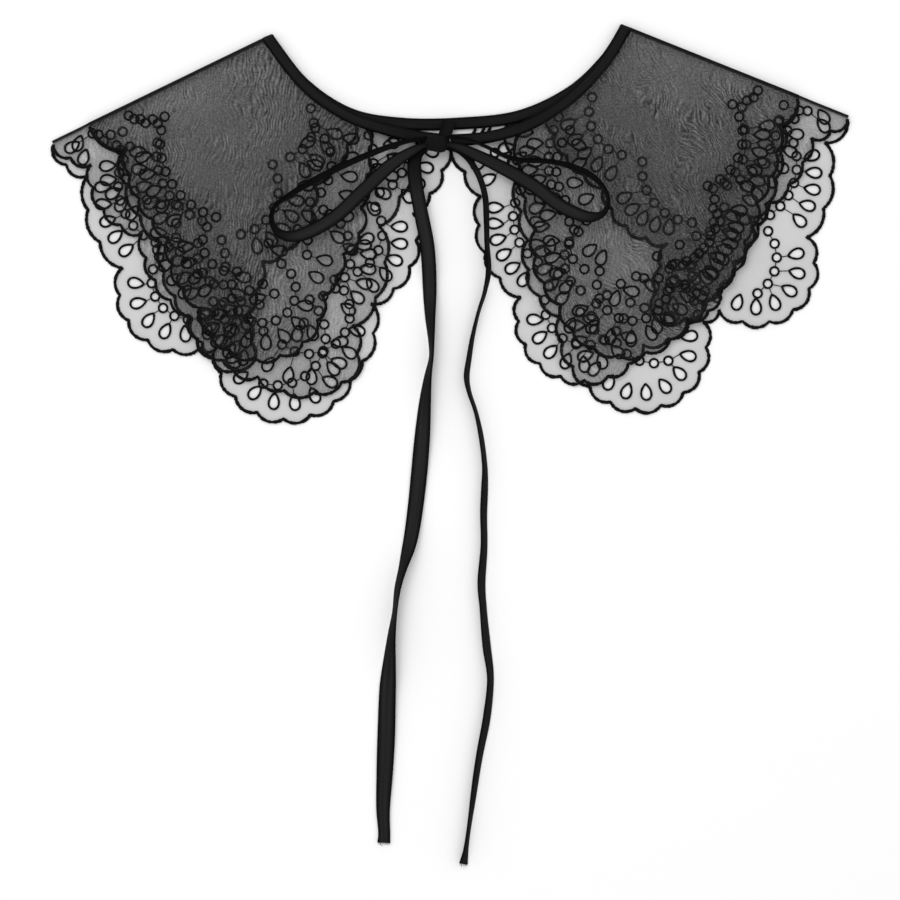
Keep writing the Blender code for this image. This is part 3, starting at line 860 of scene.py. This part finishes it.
def tape_finish(name, colour, rib, sheen):
    """Woven tape: fine ribs across it, faintly streaked along its run. Painted shade darkens it towards
    both edges, standing in for a rounded tape's edges turned from the light, and where its shaded share
    says it stands on edge or folds in.
    """
    material, tree, shader = new_finish(name, 0.62, sheen, 0.04)
    run = run_of(tree)
    across = outputs_of(tree, "SeparateXYZ", {0: run})[1]
    ribs = bands(tree, run, rib, "X")
    twill = bands(tree, turned(tree, place_of(tree), 0.7), rib * 0.8, "X")
    weave = mixed(tree, ribs, 0.6, twill, 0.4)
    # Painted shade: the tape grows darker towards both edges, standing in for the shade on a rounded tape.
    off_middle = maths(tree, "ABSOLUTE", maths(tree, "SUBTRACT", across, 0.5))
    middle = ranged(tree, off_middle, 0.22, 0.46, 1.0, 0.0)
    streak = noise(tree, turned(tree, run, 0.0, (18.0, 7.0, 1.0)), 1.0, 3.0)
    wear = ranged(tree, streak, 0.3, 0.7, 0.45, 1.0)
    worn = maths(tree, "MULTIPLY", wear, ranged(tree, weave, 0.0, 1.0, 0.75, 1.0))
    # Painted shade where the tape stands on edge or folds in at its gathered ends, read from the shaded
    # share.
    lit = ranged(tree, attribute(tree, "shaded"), 0.15, 1.0, 1.0, 0.04)
    tone = maths(tree, "MULTIPLY", maths(tree, "MULTIPLY", middle, worn), lit)
    inputs = {
        "Base Color": tinted(tree, tone, colour, 0.12, 2.3),
        "Roughness": ranged(tree, wear, 0.4, 1.0, 0.55, 0.68),
        "Normal": bump(tree, weave, 0.00008, 0.6),
    }
    wire(tree, shader, inputs)
    return material


# The organza wings

GRID_STEP = 4.2


def interior_points(panel, side, motifs):
    """Points inside a panel: an even grid clear of the eyelets, and close rows along the fold."""
    _, _, bulge = fold_frame(side)
    low, high = panel.plan.min(axis=0), panel.plan.max(axis=0)
    grid = np.array(
        [
            (low[0] + GRID_STEP * (column + 0.5 * (row % 2)), low[1] + GRID_STEP * row * 0.87)
            for row in range(int((high[1] - low[1]) / GRID_STEP / 0.87) + 1)
            for column in range(int((high[0] - low[0]) / GRID_STEP) + 2)
        ]
    )
    first, tip = panel.outline[0], panel.outline[panel.fold_count]
    depth = (grid - plan_array([first])) @ plan_array([-bulge])[0]
    kept = (outside_distance(grid, panel.plan) < -1.6) & (depth > 5.0)
    for spots, gap in ((motifs.rings, 3.3), ([drop[0] for drop in motifs.drops], 5.4)):
        if spots:
            kept &= ((grid[:, None, :] - plan_array(spots)) ** 2).sum(axis=2).min(axis=1) > gap**2
    rows = plan_array(
        [
            first.lerp(tip, index / FOLD_POINTS) - bulge * depth
            for depth in (0.8, 1.8, 3.2)
            for index in range(1, FOLD_POINTS)
        ]
    )
    rows = rows[outside_distance(rows, panel.plan) < -0.5]
    return [Vector(point) for point in np.concatenate([grid[kept], rows])]


def eyelet_points(motifs, stitches):
    """Points that mark each eyelet's cloth, and whether each lies inside its stitching."""
    inner, outer = [], []
    for middle in motifs.rings:
        inner.append(middle)
        inner.extend(ring_line(middle, stitches.ring / MM * 0.66, 6))
        outer.extend(ring_line(middle, stitches.ring / MM * 1.2, 8))
    for middle, inward, length, width in motifs.drops:
        inner.append(middle - inward * length * 0.12)
        inner.extend(drop_line(middle - inward * 0.3, inward, length * 0.62, width * 0.68, 8))
        outer.extend(drop_line(middle, inward, length * 1.1, width * 1.15, 12))
    return inner, outer


def fold_density(points, side):
    """How much the pressed fold closes the weave: most on the fold, fading into the panel."""
    return 0.1 * np.exp(-depth_from_fold(points, side) / 1.6)


def layer_closing(points, side):
    """How much the layers below close the weave: least by the taut fold, more where they lie loose."""
    taut, loose, reach = CLOSING[side]
    return loose - (loose - taut) * np.exp(-depth_from_fold(points, side) / reach)


def panel_mesh(tier, side, face, motifs, cloth, stitches):
    """One panel's points, heights, triangles and the shares that its finish reads."""
    panel = PANELS[tier, side, face]
    inner, outer = eyelet_points(motifs, stitches)
    points = panel.outline + inner + outer + interior_points(panel, side, motifs)
    ring = list(range(len(panel.outline)))
    spots, _, triangles, origins, *_ = geometry.delaunay_2d_cdt(points, [], [ring], 1, 1e-5)
    opened = range(len(ring), len(ring) + len(inner))
    plan = plan_array(spots)
    heights, held = sheet_heights(tier, side, face, plan, cloth.wave / MM)
    over = GRAIN_BY_LAYER[LAYERS.index((tier, face))] * held
    inside = [float(any(index in opened for index in found)) for found in origins]
    shares = (fold_density(plan, side), over, over * layer_closing(plan, side), inside)
    return plan, heights, triangles, shares


def wing_sheet(tier, side, motifs, cloth, stitches):
    """One half of a tier as a single sheet of organza: back panel, shoulder fold, front panel."""
    verts, faces = [], []
    shares = {"dense": [], "over": [], "closed": [], "opened": []}
    fold_ends = []
    for face in FACES:
        plan, heights, triangles, values = panel_mesh(tier, side, face, motifs[face], cloth, stitches)
        first = len(verts)
        verts.extend(metres(x, y, z) for (x, y), z in zip(plan, heights))
        faces.extend(tuple(first + i for i in tri) for tri in triangles)
        for share, found in zip(shares.values(), values):
            share.extend(found)
        panel = PANELS[tier, side, face]
        line = panel.plan[: panel.fold_count + 1]
        fold_ends.append(sheet_heights(tier, side, face, line, cloth.wave / MM)[0])
    _, _, bulge = fold_frame(side)
    first, count = len(verts), len(line)
    for step in range(FOLD_STEPS + 1):
        angle = math.pi * (step / FOLD_STEPS - 0.5)
        for (x, y), z0, z1 in zip(line, *fold_ends):
            shift = bulge * FOLD_BULGE[tier] * math.cos(angle)
            z = (z0 + z1) / 2 + (z1 - z0) / 2 * math.sin(angle)
            verts.append(metres(x + shift.x, y + shift.y, z))
            pressed = 0.1 + 0.85 * min(1.0, max(0.0, math.cos(angle)) / 0.45) ** 2
            for share, value in zip(shares.values(), (pressed, 0.0, 0.0, 0.0)):
                share.append(value)
    for step in range(FOLD_STEPS):
        for index in range(count - 1):
            a = first + step * count + index
            faces.append((a, a + 1, a + 1 + count, a + count))
    mesh = mesh_from(f"organza_{tier}_{side}", [tuple(v) for v in verts], faces)
    for name, values in shares.items():
        write_share(mesh, name, values)
    weld = bmesh.new()
    weld.from_mesh(mesh)
    bmesh.ops.remove_doubles(weld, verts=weld.verts, dist=0.01 * MM)
    bmesh.ops.recalc_face_normals(weld, faces=weld.faces)
    weld.to_mesh(mesh)
    weld.free()
    return mesh


def flat_cut(tier, side):
    """Width, length and area of a wing's flat cut, with its back panel opened out over the fold."""
    corner, along, bulge = fold_frame(side)
    reach, depth = [], []
    area = 0.0
    for face, sign in (("front", 1), ("back", -1)):
        outline = PANELS[tier, side, face].outline
        for point in outline:
            reach.append((point - corner).dot(along))
            depth.append((point - corner).dot(-bulge) * sign)
        area += abs(sum(a.x * b.y - b.x * a.y for a, b in zip(outline, outline[1:] + outline[:1]))) / 2
    fold = math.pi * 1.5 * LAYER_STEP if tier == "upper" else math.pi * 0.5 * LAYER_STEP
    area += fold * (max(reach) - min(reach)) * 0.7
    width = (max(reach) - min(reach)) * MM
    length = (max(depth) - min(depth) + fold) * MM
    return width, length, area * MM**2


# The embroidery


DROP_DEPTH = 11.6
FESTOON_DEPTH = 21.8
CUSP_DEPTH = 28.0
TIP_DEPTH = 22.0
ARCH_SPAN = 46.0
DROP_PITCH = 11.0
DROP_MARGIN = 3.6
RING_TO_DROP = 3.4
BAR_REACH = 9.0
DROP_LEAN = 0.16
INNER_LEAN = 0.5
INNER_SWAY = 3.0
INNER_RING_STEP = 9.5
SHALLOW = 0.75
NEARLY_STRAIGHT = 40


class Motifs:
    """The eyelets that fit on one panel, kept clear of its edges and of each other."""

    def __init__(self, panel, side, sizes):
        self.panel, self.side = panel, side
        self.ring, self.pitch = sizes.ring / MM, sizes.ring_pitch / MM
        self.drop = (sizes.drop_length / MM, sizes.drop_width / MM)
        self.drops, self.rings, self.links = [], [], []
        self.lay_drops()
        self.lay_rings()
        if panel.inner_row:
            self.lay_inner_row()
        self.lay_bars()

    def clear_of(self, point, taken, gap):
        return all((point - other).length > gap for other in taken)

    def inside(self, point, margin):
        return outside_distance(plan_array([point]), self.panel.plan)[0] < -margin

    def drop_middles(self):
        return [drop[0] for drop in self.drops]

    def ring_fits(self, spot, margin, gap):
        """Whether a ring lies clear of the panel's edge, of the other rings and of the drops."""
        return (
            self.inside(spot, margin)
            and self.clear_of(spot, self.rings, gap)
            and self.clear_of(spot, self.drop_middles(), self.ring / 2 + RING_TO_DROP)
        )

    def lay_drops(self):
        """A row of drops along each lobe, their points towards the panel."""
        for number, (arc, scallops) in enumerate(self.panel.arcs):
            if scallops == 1 and arc.radius > NEARLY_STRAIGHT:
                continue
            count = count_along(arc, DROP_PITCH, scallops) if arc.half_angle < SHALLOW else scallops
            shift = 0.0 if number < self.panel.between else 0.5
            for step, crest, inward in crests(arc, count, shift):
                lean = DROP_LEAN * math.sin(2.3 * step + 1.7 * number)
                self.lay_drop(crest + inward * DROP_DEPTH, inward, lean)

    def lay_drop(self, middle, inward, lean):
        length, width = self.drop
        if self.inside(middle, DROP_MARGIN) and self.clear_of(middle, self.drop_middles(), width + 1.2):
            self.drops.append((middle, rotated(inward, lean), length, width))

    def lay_inner_row(self):
        """A second, looser row of drops inside the first one, and a short row of rings inside that."""
        for number, (arc, _) in enumerate(self.panel.arcs[3:]):
            for step, crest, inward in crests(arc, count_along(arc, 1.15 * DROP_PITCH)):
                depth = self.panel.inner_row + INNER_SWAY * math.sin(1.9 * step + number)
                middle = crest + inward * depth
                if self.clear_of(middle, self.rings, self.ring / 2 + DROP_MARGIN):
                    self.lay_drop(middle, inward, INNER_LEAN * math.sin(2.7 * step + number))
        for arc, _ in self.panel.arcs[3:5]:
            for _, crest, inward in crests(arc, count_along(arc, self.pitch)):
                spot = crest + inward * (self.panel.inner_row + INNER_RING_STEP)
                if self.ring_fits(spot, self.ring, self.pitch - 0.6):
                    self.rings.append(spot)

    def arches(self):
        """The stretches of edge that carry one arch of rings each. Long shallow lobes carry two."""
        out = []
        for index, (arc, scallops) in enumerate(self.panel.arcs):
            if scallops < 2 and index > 0:
                continue
            chord = 2 * arc.radius * math.sin(arc.half_angle)
            shallow = arc.half_angle < SHALLOW
            parts = max(1, round(chord / ARCH_SPAN)) if shallow else 1
            for part in range(parts):
                out.append((index, arc, part / parts, (part + 1) / parts))
        return out

    def inward_at(self, arc, share):
        """The way into the panel near one end of an arc, halfway back to its middle."""
        return (arc.centre - on_arc(arc, 0.5 * share + 0.25)).normalized()

    def festoon(self, index, arc, low, high, before, after):
        """The arch of rings inside one stretch. The stretch at the fold's tip has half an arch."""
        ends = []
        for share, neighbour, far in ((low, before, 1.0), (high, after, 0.0)):
            inward = self.inward_at(arc, share)
            if share in (0.0, 1.0) and neighbour is not None:
                inward = (inward + self.inward_at(neighbour, far)).normalized()
            ends.append(on_arc(arc, share) + inward * CUSP_DEPTH)
        start, end = ends
        if index == 0 and low == 0.0:
            _, along, bulge = fold_frame(self.side)
            start = self.panel.cusps[0] - along * TIP_DEPTH - bulge * 4.0
            return arc_over(start, end, 2.0, AWAY[self.side])
        apex = on_arc(arc, (low + high) / 2, SCALLOP_DEPTH - FESTOON_DEPTH)
        middle = (start + end) / 2
        chord = (on_arc(arc, high) - on_arc(arc, low)).normalized()
        if (end - start).dot(chord) < self.pitch:
            half = max(self.pitch, arc.radius - FESTOON_DEPTH)
            start, end = middle - chord * half, middle + chord * half
        outward = -self.inward_at(arc, (low + high) / 2)
        return arc_over(start, end, max(3.0, (apex - middle).dot(outward)), AWAY[self.side])

    def lay_rings(self):
        """Festoons of small rings, from one inner cusp to the next."""
        arches = self.arches()
        for number, (index, arc, low, high) in enumerate(arches):
            before = arches[number - 1][1] if number else None
            after = arches[number + 1][1] if number + 1 < len(arches) else None
            arch = self.festoon(index, arc, low, high, before, after)
            count = count_along(arch, self.pitch, 2)
            shift = 0.5 if index < self.panel.between else 0.0
            previous = None
            for step in range(count + 1):
                spot = on_arc(arch, min(1.0, (step + shift) / count))
                if self.ring_fits(spot, self.ring / 2 + 1.2, self.ring + 1.0):
                    if previous is not None:
                        self.links.append((previous, spot, self.ring / 2, self.ring / 2))
                    self.rings.append(spot)
                    previous = spot
                else:
                    previous = None

    def lay_bars(self):
        """Thin bars from each drop's point to the nearest ring."""
        for middle, inward, length, _ in self.drops:
            tip = middle + inward * (length / 2)
            for spot in sorted(self.rings, key=lambda ring: (ring - tip).length)[:1]:
                if (spot - tip).length < BAR_REACH:
                    self.links.append((tip, spot, 0.0, self.ring / 2))


def rotated(vector, angle):
    cosine, sine = math.cos(angle), math.sin(angle)
    return Vector((vector.x * cosine - vector.y * sine, vector.x * sine + vector.y * cosine))


def drop_line(middle, inward, length, width, count=22):
    """A drop's outline in plan, its sharp end towards inward."""
    across = Vector((-inward.y, inward.x))
    points = []
    for step in range(count):
        angle = 2 * math.pi * step / count
        along = math.cos(angle) * length / 2
        wide = 1.12 * math.sin(angle) * abs(math.sin(angle / 2)) ** 0.65 * width / 2
        points.append(middle + inward * along + across * wide)
    return points


def ring_line(middle, diameter, count=16):
    angles = [2 * math.pi * step / count for step in range(count)]
    return [middle + Vector((math.cos(angle), math.sin(angle))) * diameter / 2 for angle in angles]


def stitched_lines(panel, motifs, stitches):
    """Each stitched line of a panel: points in plan, width, height, closed or not, sides, unevenness."""
    edge = panel.outline[panel.fold_count : panel.fold_count + panel.edge_count]
    width = stitches.ring_width / MM
    drops, rings = (1.04 * width, 0.62, True, 6, 0.1), (width, 0.62, True, 6, 0.1)
    lines = [(evenly(edge, 0.8), stitches.edge_width / MM, 0.85, False, 6, 0.22)]
    lines += [(drop_line(*drop), *drops) for drop in motifs.drops]
    lines += [(ring_line(spot, stitches.ring / MM), *rings) for spot in motifs.rings]
    for start, end, skip_start, skip_end in motifs.links:
        way = (end - start).normalized()
        lines.append(([start + way * skip_start, end - way * skip_end], 0.5, 0.3, False, 4, 0.0))
    return lines


def wing_embroidery(tier, side, motifs, cloth, stitches):
    """Every stitched line on one wing: corded edges, drops, rings and the bars between them."""
    strands = Strands()
    for face in FACES:
        lines = stitched_lines(PANELS[tier, side, face], motifs[face], stitches)
        plan = plan_array([point for points, *_ in lines for point in points])
        heights, _ = sheet_heights(tier, side, face, plan, cloth.wave / MM)
        spots = iter(np.column_stack([plan, heights]))
        for points, *laid in lines:
            strands.thread([next(spots) for _ in points], *laid)
    return strands.mesh(f"embroidery_{tier}_{side}")


# Band and tape

COLUMNS = 9

def tape_rails(rows, heights):
    """The two edges of a tape that leans from lying flat, its lower edge at the given heights."""
    rails = []
    for row, height, way in zip(rows, heights, directions(in_plan(rows))):
        lean = math.radians(row.lean)
        middle = height + (row.width * abs(math.sin(lean)) + TAPE * math.cos(lean)) / 2
        side = Vector((-way.y * math.cos(lean), way.x * math.cos(lean), math.sin(lean)))
        centre = Vector((row.x, row.y, middle))
        rails.append((centre + side * row.width / 2, centre - side * row.width / 2))
    return rails


def middle_line(rails):
    return [(a + b) / 2 for a, b in rails]


def strip_places(columns):
    """Places across a strip, 0 to 1, for the points of its two faces in turn."""
    there = [column / (columns - 1) for column in range(columns)]
    return there + there[::-1]


def tape_rings(rails, thickness, cup=0.0, pleats=(), columns=COLUMNS):
    """Cross sections of a strip with soft rounded edges, cupped across its width.

    pleats holds ends of the strip, 0 or 1, where it is gathered into small folds.
    """
    middles = middle_line(rails)
    reach = run_so_far(middles)
    rings = []
    for (a, b), middle, way, gone in zip(rails, middles, directions(middles), reach):
        across = (b - a) / 2
        normal = way.cross(across).normalized()
        gathered = sum(math.exp(-(abs(gone - end * reach[-1]) / 7.0) ** 1.5) for end in pleats)
        ring = []
        for place, face in zip(strip_places(columns), [1] * columns + [-1] * columns):
            t = 2 * place - 1
            round_off = math.sqrt(max(0.0, 1 - abs(t) ** 5))
            level = face * thickness / 2 * (0.25 + 0.75 * round_off) + cup * (t * t - 0.4)
            level += 0.3 * gathered * math.cos(3 * math.pi * t)
            level += 0.1 * math.sin(gone / 6.5 + 2.2 * t)
            ring.append(metres(*(middle + across * t + normal * level)))
        rings.append(ring)
    return rings


def turned_from_light(rails, pleats):
    """Painted shade for each stretch of a strip, 0 to 1: where it stands on edge and turns from the light
    above, and where it folds in at its gathered ends.
    """
    reach = run_so_far(middle_line(rails))
    out = []
    for (a, b), gone in zip(rails, reach):
        shaded_tucks = sum(math.exp(-((abs(gone - end * reach[-1]) / 26.0) ** 4)) for end in pleats)
        on_edge = (abs(b.z - a.z) / (b - a).length) ** 2
        out.append(min(1.0, max(0.8 * shaded_tucks, on_edge)))
    return out


def woven_tape(rails, cup, pleats, shaded_tucks):
    """A tape swept between its two edges, and its length. pleats names its ends gathered in folds, and the
    last argument the ends that get painted shade where they tuck in, each 0 or 1.
    """
    strands = Strands()
    length = run_so_far(middle_line(rails))[-1] * MM
    rings = tape_rings(rails, 0.7 * TAPE, cup, pleats)
    shaded = turned_from_light(rails, shaded_tucks)
    strands.sweep(rings, length=length, across=strip_places(COLUMNS), shaded=shaded)
    return strands, length


def frayed_end(strands, end, way):
    """Loose threads at the tape's cut end."""
    way = Vector((way.x, way.y, 0.0)).normalized()
    for number in range(9):
        start = end[0].lerp(end[1], (number + 0.5) / 9)
        turn = rotated(Vector((way.x, way.y)), 1.2 * (chance(number) - 0.5))
        reach = 0.6 + 1.3 * chance(number + 20)
        tip = start + Vector((turn.x, turn.y, 0.0)) * reach
        tip.z = max(0.12, start.z - 0.3)
        strands.thread([start, start.lerp(tip, 0.6), tip], 0.2, 0.16, sides=4)


def band_level(stations, x):
    path = sorted((point.x, point.y) for point in smooth(stations, BAND_STEPS))
    return float(np.interp(x, [point[0] for point in path], [point[1] for point in path]))


def band_rails():
    """Both edges of the neckband from the left front's end, round the back, to the right front's end."""

    def flat(stations, z, turned_round=False):
        near = offset_line(stations, BAND_WIDTH / 2)
        far = offset_line(stations, -BAND_WIDTH / 2)
        rails = [(Vector((*a, z)), Vector((*b, z))) for a, b in zip(near, far)][1:]
        return [(b, a) for a, b in rails] if turned_round else rails

    def fold(side):
        corner, along, bulge = fold_frame(side)
        half = half_band_at_fold(side)
        rails = []
        for step in range(FOLD_STEPS + 1):
            angle = math.pi * (step / FOLD_STEPS - 0.5)
            z = FOLD_Z + BAND_FOLD_RADIUS * math.sin(angle)
            shift = bulge * BAND_FOLD_RADIUS * math.cos(angle)
            near, far = corner - along * half + shift, corner + along * half + shift
            rails.append((Vector((*near, z)), Vector((*far, z))))
        return rails

    low, high = FOLD_Z - BAND_FOLD_RADIUS, FOLD_Z + BAND_FOLD_RADIUS
    left = flat(smooth(FRONT_BANDS["left"], BAND_STEPS), high)
    right = flat(smooth(FRONT_BANDS["right"], BAND_STEPS), high, turned_round=True)
    back = flat(smooth(BACK_BAND, BAND_STEPS), low)[:-1]
    return left[::-1] + fold("left")[::-1] + back + fold("right") + right


# Operators


class COLLAR_OT_stage(bpy.types.Operator):
    """Lay the plain floor, set the soft light and put the camera straight above"""

    bl_idname = "collar.stage"
    bl_label = "Set the stage"

    def execute(self, context):
        scene = context.scene
        stage = scene.collar_stage
        self.lay_floor(stage)
        self.set_light(scene, stage)
        self.set_camera(scene, stage)
        return {"FINISHED"}

    def lay_floor(self, stage):
        mesh = bpy.data.meshes.new("floor")
        half, low = 4.0, -0.0002
        corners = ((-half, -half), (half, -half), (half, half), (-half, half))
        mesh.from_pydata([(x, y, low) for x, y in corners], [], [(0, 1, 2, 3)])
        material, tree, shader = new_finish("plain_floor", 0.9, 0.0, 0.0)
        speckle = noise(tree, place_of(tree), 40.0, 2.0)
        wire(tree, shader, {"Base Color": tinted(tree, speckle, stage.floor, 0.995, 1.0)})
        mesh.materials.append(material)
        floor = put_in_scene("floor", mesh)

    def set_light(self, scene, stage):
        world = bpy.data.worlds.new("room")
        world.use_nodes = True
        light = {"Color": (1.0, 1.0, 1.0, 1.0), "Strength": stage.sky}
        wire(world.node_tree, world.node_tree.nodes["Background"], light)
        scene.world = world
        lamp = bpy.data.lights.new("soft_lamp", "AREA")
        lamp.energy = stage.lamp
        lamp.size = 1.4
        lamp_object = put_in_scene("soft_lamp", lamp)
        lamp_object.location = (-0.7, 0.9, 1.9)
        aim = Vector((0.0, -0.08, 0.0)) - lamp_object.location
        lamp_object.rotation_euler = aim.to_track_quat("-Z", "Y").to_euler()
        scene.view_settings.view_transform = "Standard"
        scene.cycles.transparent_max_bounces = 32

    def set_camera(self, scene, stage):
        camera = bpy.data.cameras.new("camera")
        camera.lens = stage.lens
        camera.sensor_width = 36.0
        height = PICTURE_WIDTH * MM * camera.lens / camera.sensor_width
        camera.clip_start, camera.clip_end = 0.05, 20.0
        scene.camera = put_in_scene("camera", camera)
        spot = metres(*PICTURE_MIDDLE, 0.0)
        scene.camera.location = (spot.x, spot.y, height)


class COLLAR_OT_tie_ends(bpy.types.Operator):
    """Lay the two free ends of the tape, from the knot down onto the floor"""

    bl_idname = "collar.tie_ends"
    bl_label = "Lay the tie ends"

    def execute(self, context):
        tape = context.scene.collar_tape
        material = tape_finish("tie_tape", tape.colour, tape.rib, 0.015)
        for side, table in TIE_ENDS.items():
            rows = smooth(table, TIE_STEPS)
            heights = [max(row.under + SEAM_GAP, FLOOR_CLEARANCE) for row in rows]
            rails = tape_rails(rows, heights)
            middles = middle_line(rails)
            strands, length = woven_tape(rails, 0.16, pleats=(0,), shaded_tucks=(0,))
            frayed_end(strands, rails[-1], middles[-1] - middles[-2])
            name = f"tie_end_{side}_tape"
            piece = add_piece(name, strands.mesh(name), [f"tie_end_{side}"], material)
        return {"FINISHED"}


class COLLAR_OT_wings(bpy.types.Operator):
    """Drape the four folded wings of sheer organza and stitch the eyelets on them"""

    bl_idname = "collar.wings"
    bl_label = "Drape and stitch the wings"

    def execute(self, context):
        cloth = context.scene.collar_cloth
        stitches = context.scene.collar_stitches
        thread = thread_finish("embroidery_thread", stitches.colour)
        for side in WINGS:
            _, along, _ = fold_frame(side)
            weave_angle = -math.atan2(along.y, along.x)
            grain_angle, drift = (0.1, 0.026) if side == "left" else (-0.45, 0.036)
            for tier in ("upper", "lower"):
                node = f"{tier}_tier_{side}"
                motifs = {face: Motifs(PANELS[tier, side, face], side, stitches) for face in FACES}
                name = f"organza_{tier}_{side}"
                finish = organza_finish(name, cloth, weave_angle, grain_angle, drift)
                mesh = wing_sheet(tier, side, motifs, cloth, stitches)
                sheet = add_piece(f"{node}_organza", mesh, [node], finish)
                mesh = wing_embroidery(tier, side, motifs, cloth, stitches)
                stitched = add_piece(f"{node}_embroidery", mesh, [], thread)
                width, length, area = flat_cut(tier, side)
        return {"FINISHED"}


class COLLAR_OT_neckband(bpy.types.Operator):
    """Bind the neck edge with a folded strip and stitch it down"""

    bl_idname = "collar.neckband"
    bl_label = "Bind the neck"

    def execute(self, context):
        tape = context.scene.collar_tape
        rails = band_rails()
        strands = Strands()
        rings = tape_rings(rails, 0.92 * BAND_THICKNESS)
        length = run_so_far(middle_line(rails))[-1] * MM
        strands.sweep(rings, length=length, across=strip_places(COLUMNS))
        colour = shade(tape.colour, 0.62)[:3]
        material = tape_finish("neck_binding", colour, tape.rib * 0.8, 0.012)
        mesh = strands.mesh("neckband_binding")
        add_piece("neckband_binding", mesh, ["neckband"], material)
        if tape.stitched:
            thread = thread_finish("band_thread", colour)
            add_piece("neckband_stitches", self.stitch_line(rails), [], thread)
        return {"FINISHED"}

    def stitch_line(self, rails):
        """Small stitches along the binding, and the lace edge's threads across the gap at the front."""
        strands = Strands()
        for x in GAP_THREADS:
            start = (x - 0.8, band_level(FRONT_BANDS["right"], x) + BAND_WIDTH / 2 - 0.5, FOLD_Z)
            end = (x + 0.8, band_level(BACK_BAND, x) - BAND_WIDTH / 2 + 0.5, FOLD_Z - BAND_FOLD_RADIUS)
            middle = (Vector(start) + Vector(end)) / 2 + Vector((0.3, 0.0, 0.0))
            strands.thread([Vector(start), middle, Vector(end)], 1.7, 0.6, sides=6)
        line = [far.lerp(near, 0.16) for near, far in rails]
        spots = evenly(line, 1.5)
        for start, end in zip(spots[::2], spots[1::2]):
            lift = Vector((0.0, 0.0, 0.46 * BAND_THICKNESS + 0.02))
            path = [start + lift, (start + end) / 2 + lift + Vector((0, 0, 0.08)), end + lift]
            strands.thread(path, 0.34, 0.24, sides=5)
        return strands.mesh("neckband_stitches")


class COLLAR_OT_bow(bpy.types.Operator):
    """Tie the bow: two loops of tape and the wrapped knot between them"""

    bl_idname = "collar.bow"
    bl_label = "Tie the bow"

    def execute(self, context):
        tape = context.scene.collar_tape
        material = tape_finish("bow_tape_weave", tape.colour, tape.rib, 0.015)
        for side, table in BOW_LOOPS.items():
            rows = smooth(table, LOOP_STEPS)
            heights = [UPPER_TOP + SEAM_GAP + row.lift for row in rows]
            strands, _ = woven_tape(tape_rails(rows, heights), 0.14, pleats=(0, 1), shaded_tucks=(1,))
            name = f"bow_loop_{side}_tape"
            add_piece(name, strands.mesh(name), [f"bow_loop_{side}"], material)
        # The knot's wrap is the same tape painted darker: painted shade in its bunched folds, over the knot
        # and its tucked fold.
        material = tape_finish("bow_knot_shaded_weave", shade(tape.colour, 0.35)[:3], tape.rib, 0.01)
        add_piece("bow_knot_wrap", self.knot_mesh(), ["bow_knot"], material)
        return {"FINISHED"}

    def knot_mesh(self):
        """The tape's last turn round the knot, pinched at both ends and creased along its run."""
        strands = Strands()
        centre = Vector(KNOT_CENTRE) + Vector((-0.6, -1.0, 0.0))
        rings = []
        columns, turns = 26, 44
        for column in range(columns + 1):
            t = 2 * column / columns - 1
            swell = (1 - abs(t) ** 3.2) ** 0.55
            ring = []
            for turn in range(turns):
                angle = 2 * math.pi * turn / turns
                y, z = math.cos(angle), math.sin(angle)
                y, z = (math.copysign(abs(part) ** 0.85, part) for part in (y, z))
                crease = 0.07 * math.sin(4.6 * math.pi * (t + 0.12 * math.sin(2 * angle))) * swell
                size = 0.42 + 0.52 * swell + crease * (0.6 + 0.4 * math.cos(angle + 0.7))
                x = t * (0.97 - 0.07 * math.cos(angle + 0.4))
                wide, deep = KNOT_HALF[0] * KNOT_SLACK[0], KNOT_HALF[1] * KNOT_SLACK[1]
                spot = rotated(Vector((wide * x, deep * y * size)), KNOT_TURN)
                height = centre.z + KNOT_HALF[2] * z * size
                ring.append(metres(centre.x + spot.x, centre.y + spot.y, height))
            rings.append(ring)
        across = [0.5 + 0.1 * math.sin(turn) for turn in range(turns)]
        strands.sweep(rings, length=2 * KNOT_HALF[0] * MM, across=across)
        strands.thread(smooth(KNOT_TUCK, 5), 7.0, 1.2, sides=20)
        return strands.mesh("bow_knot_wrap")


class COLLAR_PT_dressing(bpy.types.Panel):
    """Lists the collar's sizes, colours and steps in the sidebar"""

    bl_idname = "COLLAR_PT_dressing"
    bl_label = "Collar"
    bl_space_type = "VIEW_3D"
    bl_region_type = "UI"
    bl_category = "Collar"

    def draw(self, context):
        scene = context.scene
        for label, group, operators in PANEL_ROWS:
            box = self.layout.box()
            box.label(text=label)
            settings = getattr(scene, group)
            for name in settings.__annotations__:
                box.prop(settings, name)
            for operator in operators:
                box.operator(operator)


PANEL_ROWS = (
    ("Stage", "collar_stage", ("collar.stage",)),
    ("Tape", "collar_tape", ("collar.tie_ends", "collar.neckband", "collar.bow")),
    ("Organza", "collar_cloth", ()),
    ("Embroidery", "collar_stitches", ("collar.wings",)),
)
GROUPS = {
    "collar_cloth": CollarCloth,
    "collar_stitches": CollarStitches,
    "collar_tape": CollarTape,
    "collar_stage": CollarStage,
}
CLASSES = (
    *GROUPS.values(),
    COLLAR_OT_stage,
    COLLAR_OT_tie_ends,
    COLLAR_OT_wings,
    COLLAR_OT_neckband,
    COLLAR_OT_bow,
    COLLAR_PT_dressing,
)


def register():
    for cls in CLASSES:
        bpy.utils.register_class(cls)
    for name, group in GROUPS.items():
        setattr(bpy.types.Scene, name, PointerProperty(type=group))


def unregister():
    for name in GROUPS:
        delattr(bpy.types.Scene, name)
    for cls in reversed(CLASSES):
        bpy.utils.unregister_class(cls)


def main():
    register()
    bpy.ops.collar.stage()
    bpy.ops.collar.tie_ends()
    bpy.ops.collar.wings()
    bpy.ops.collar.neckband()
    bpy.ops.collar.bow()


if __name__ == "__main__":
    main()
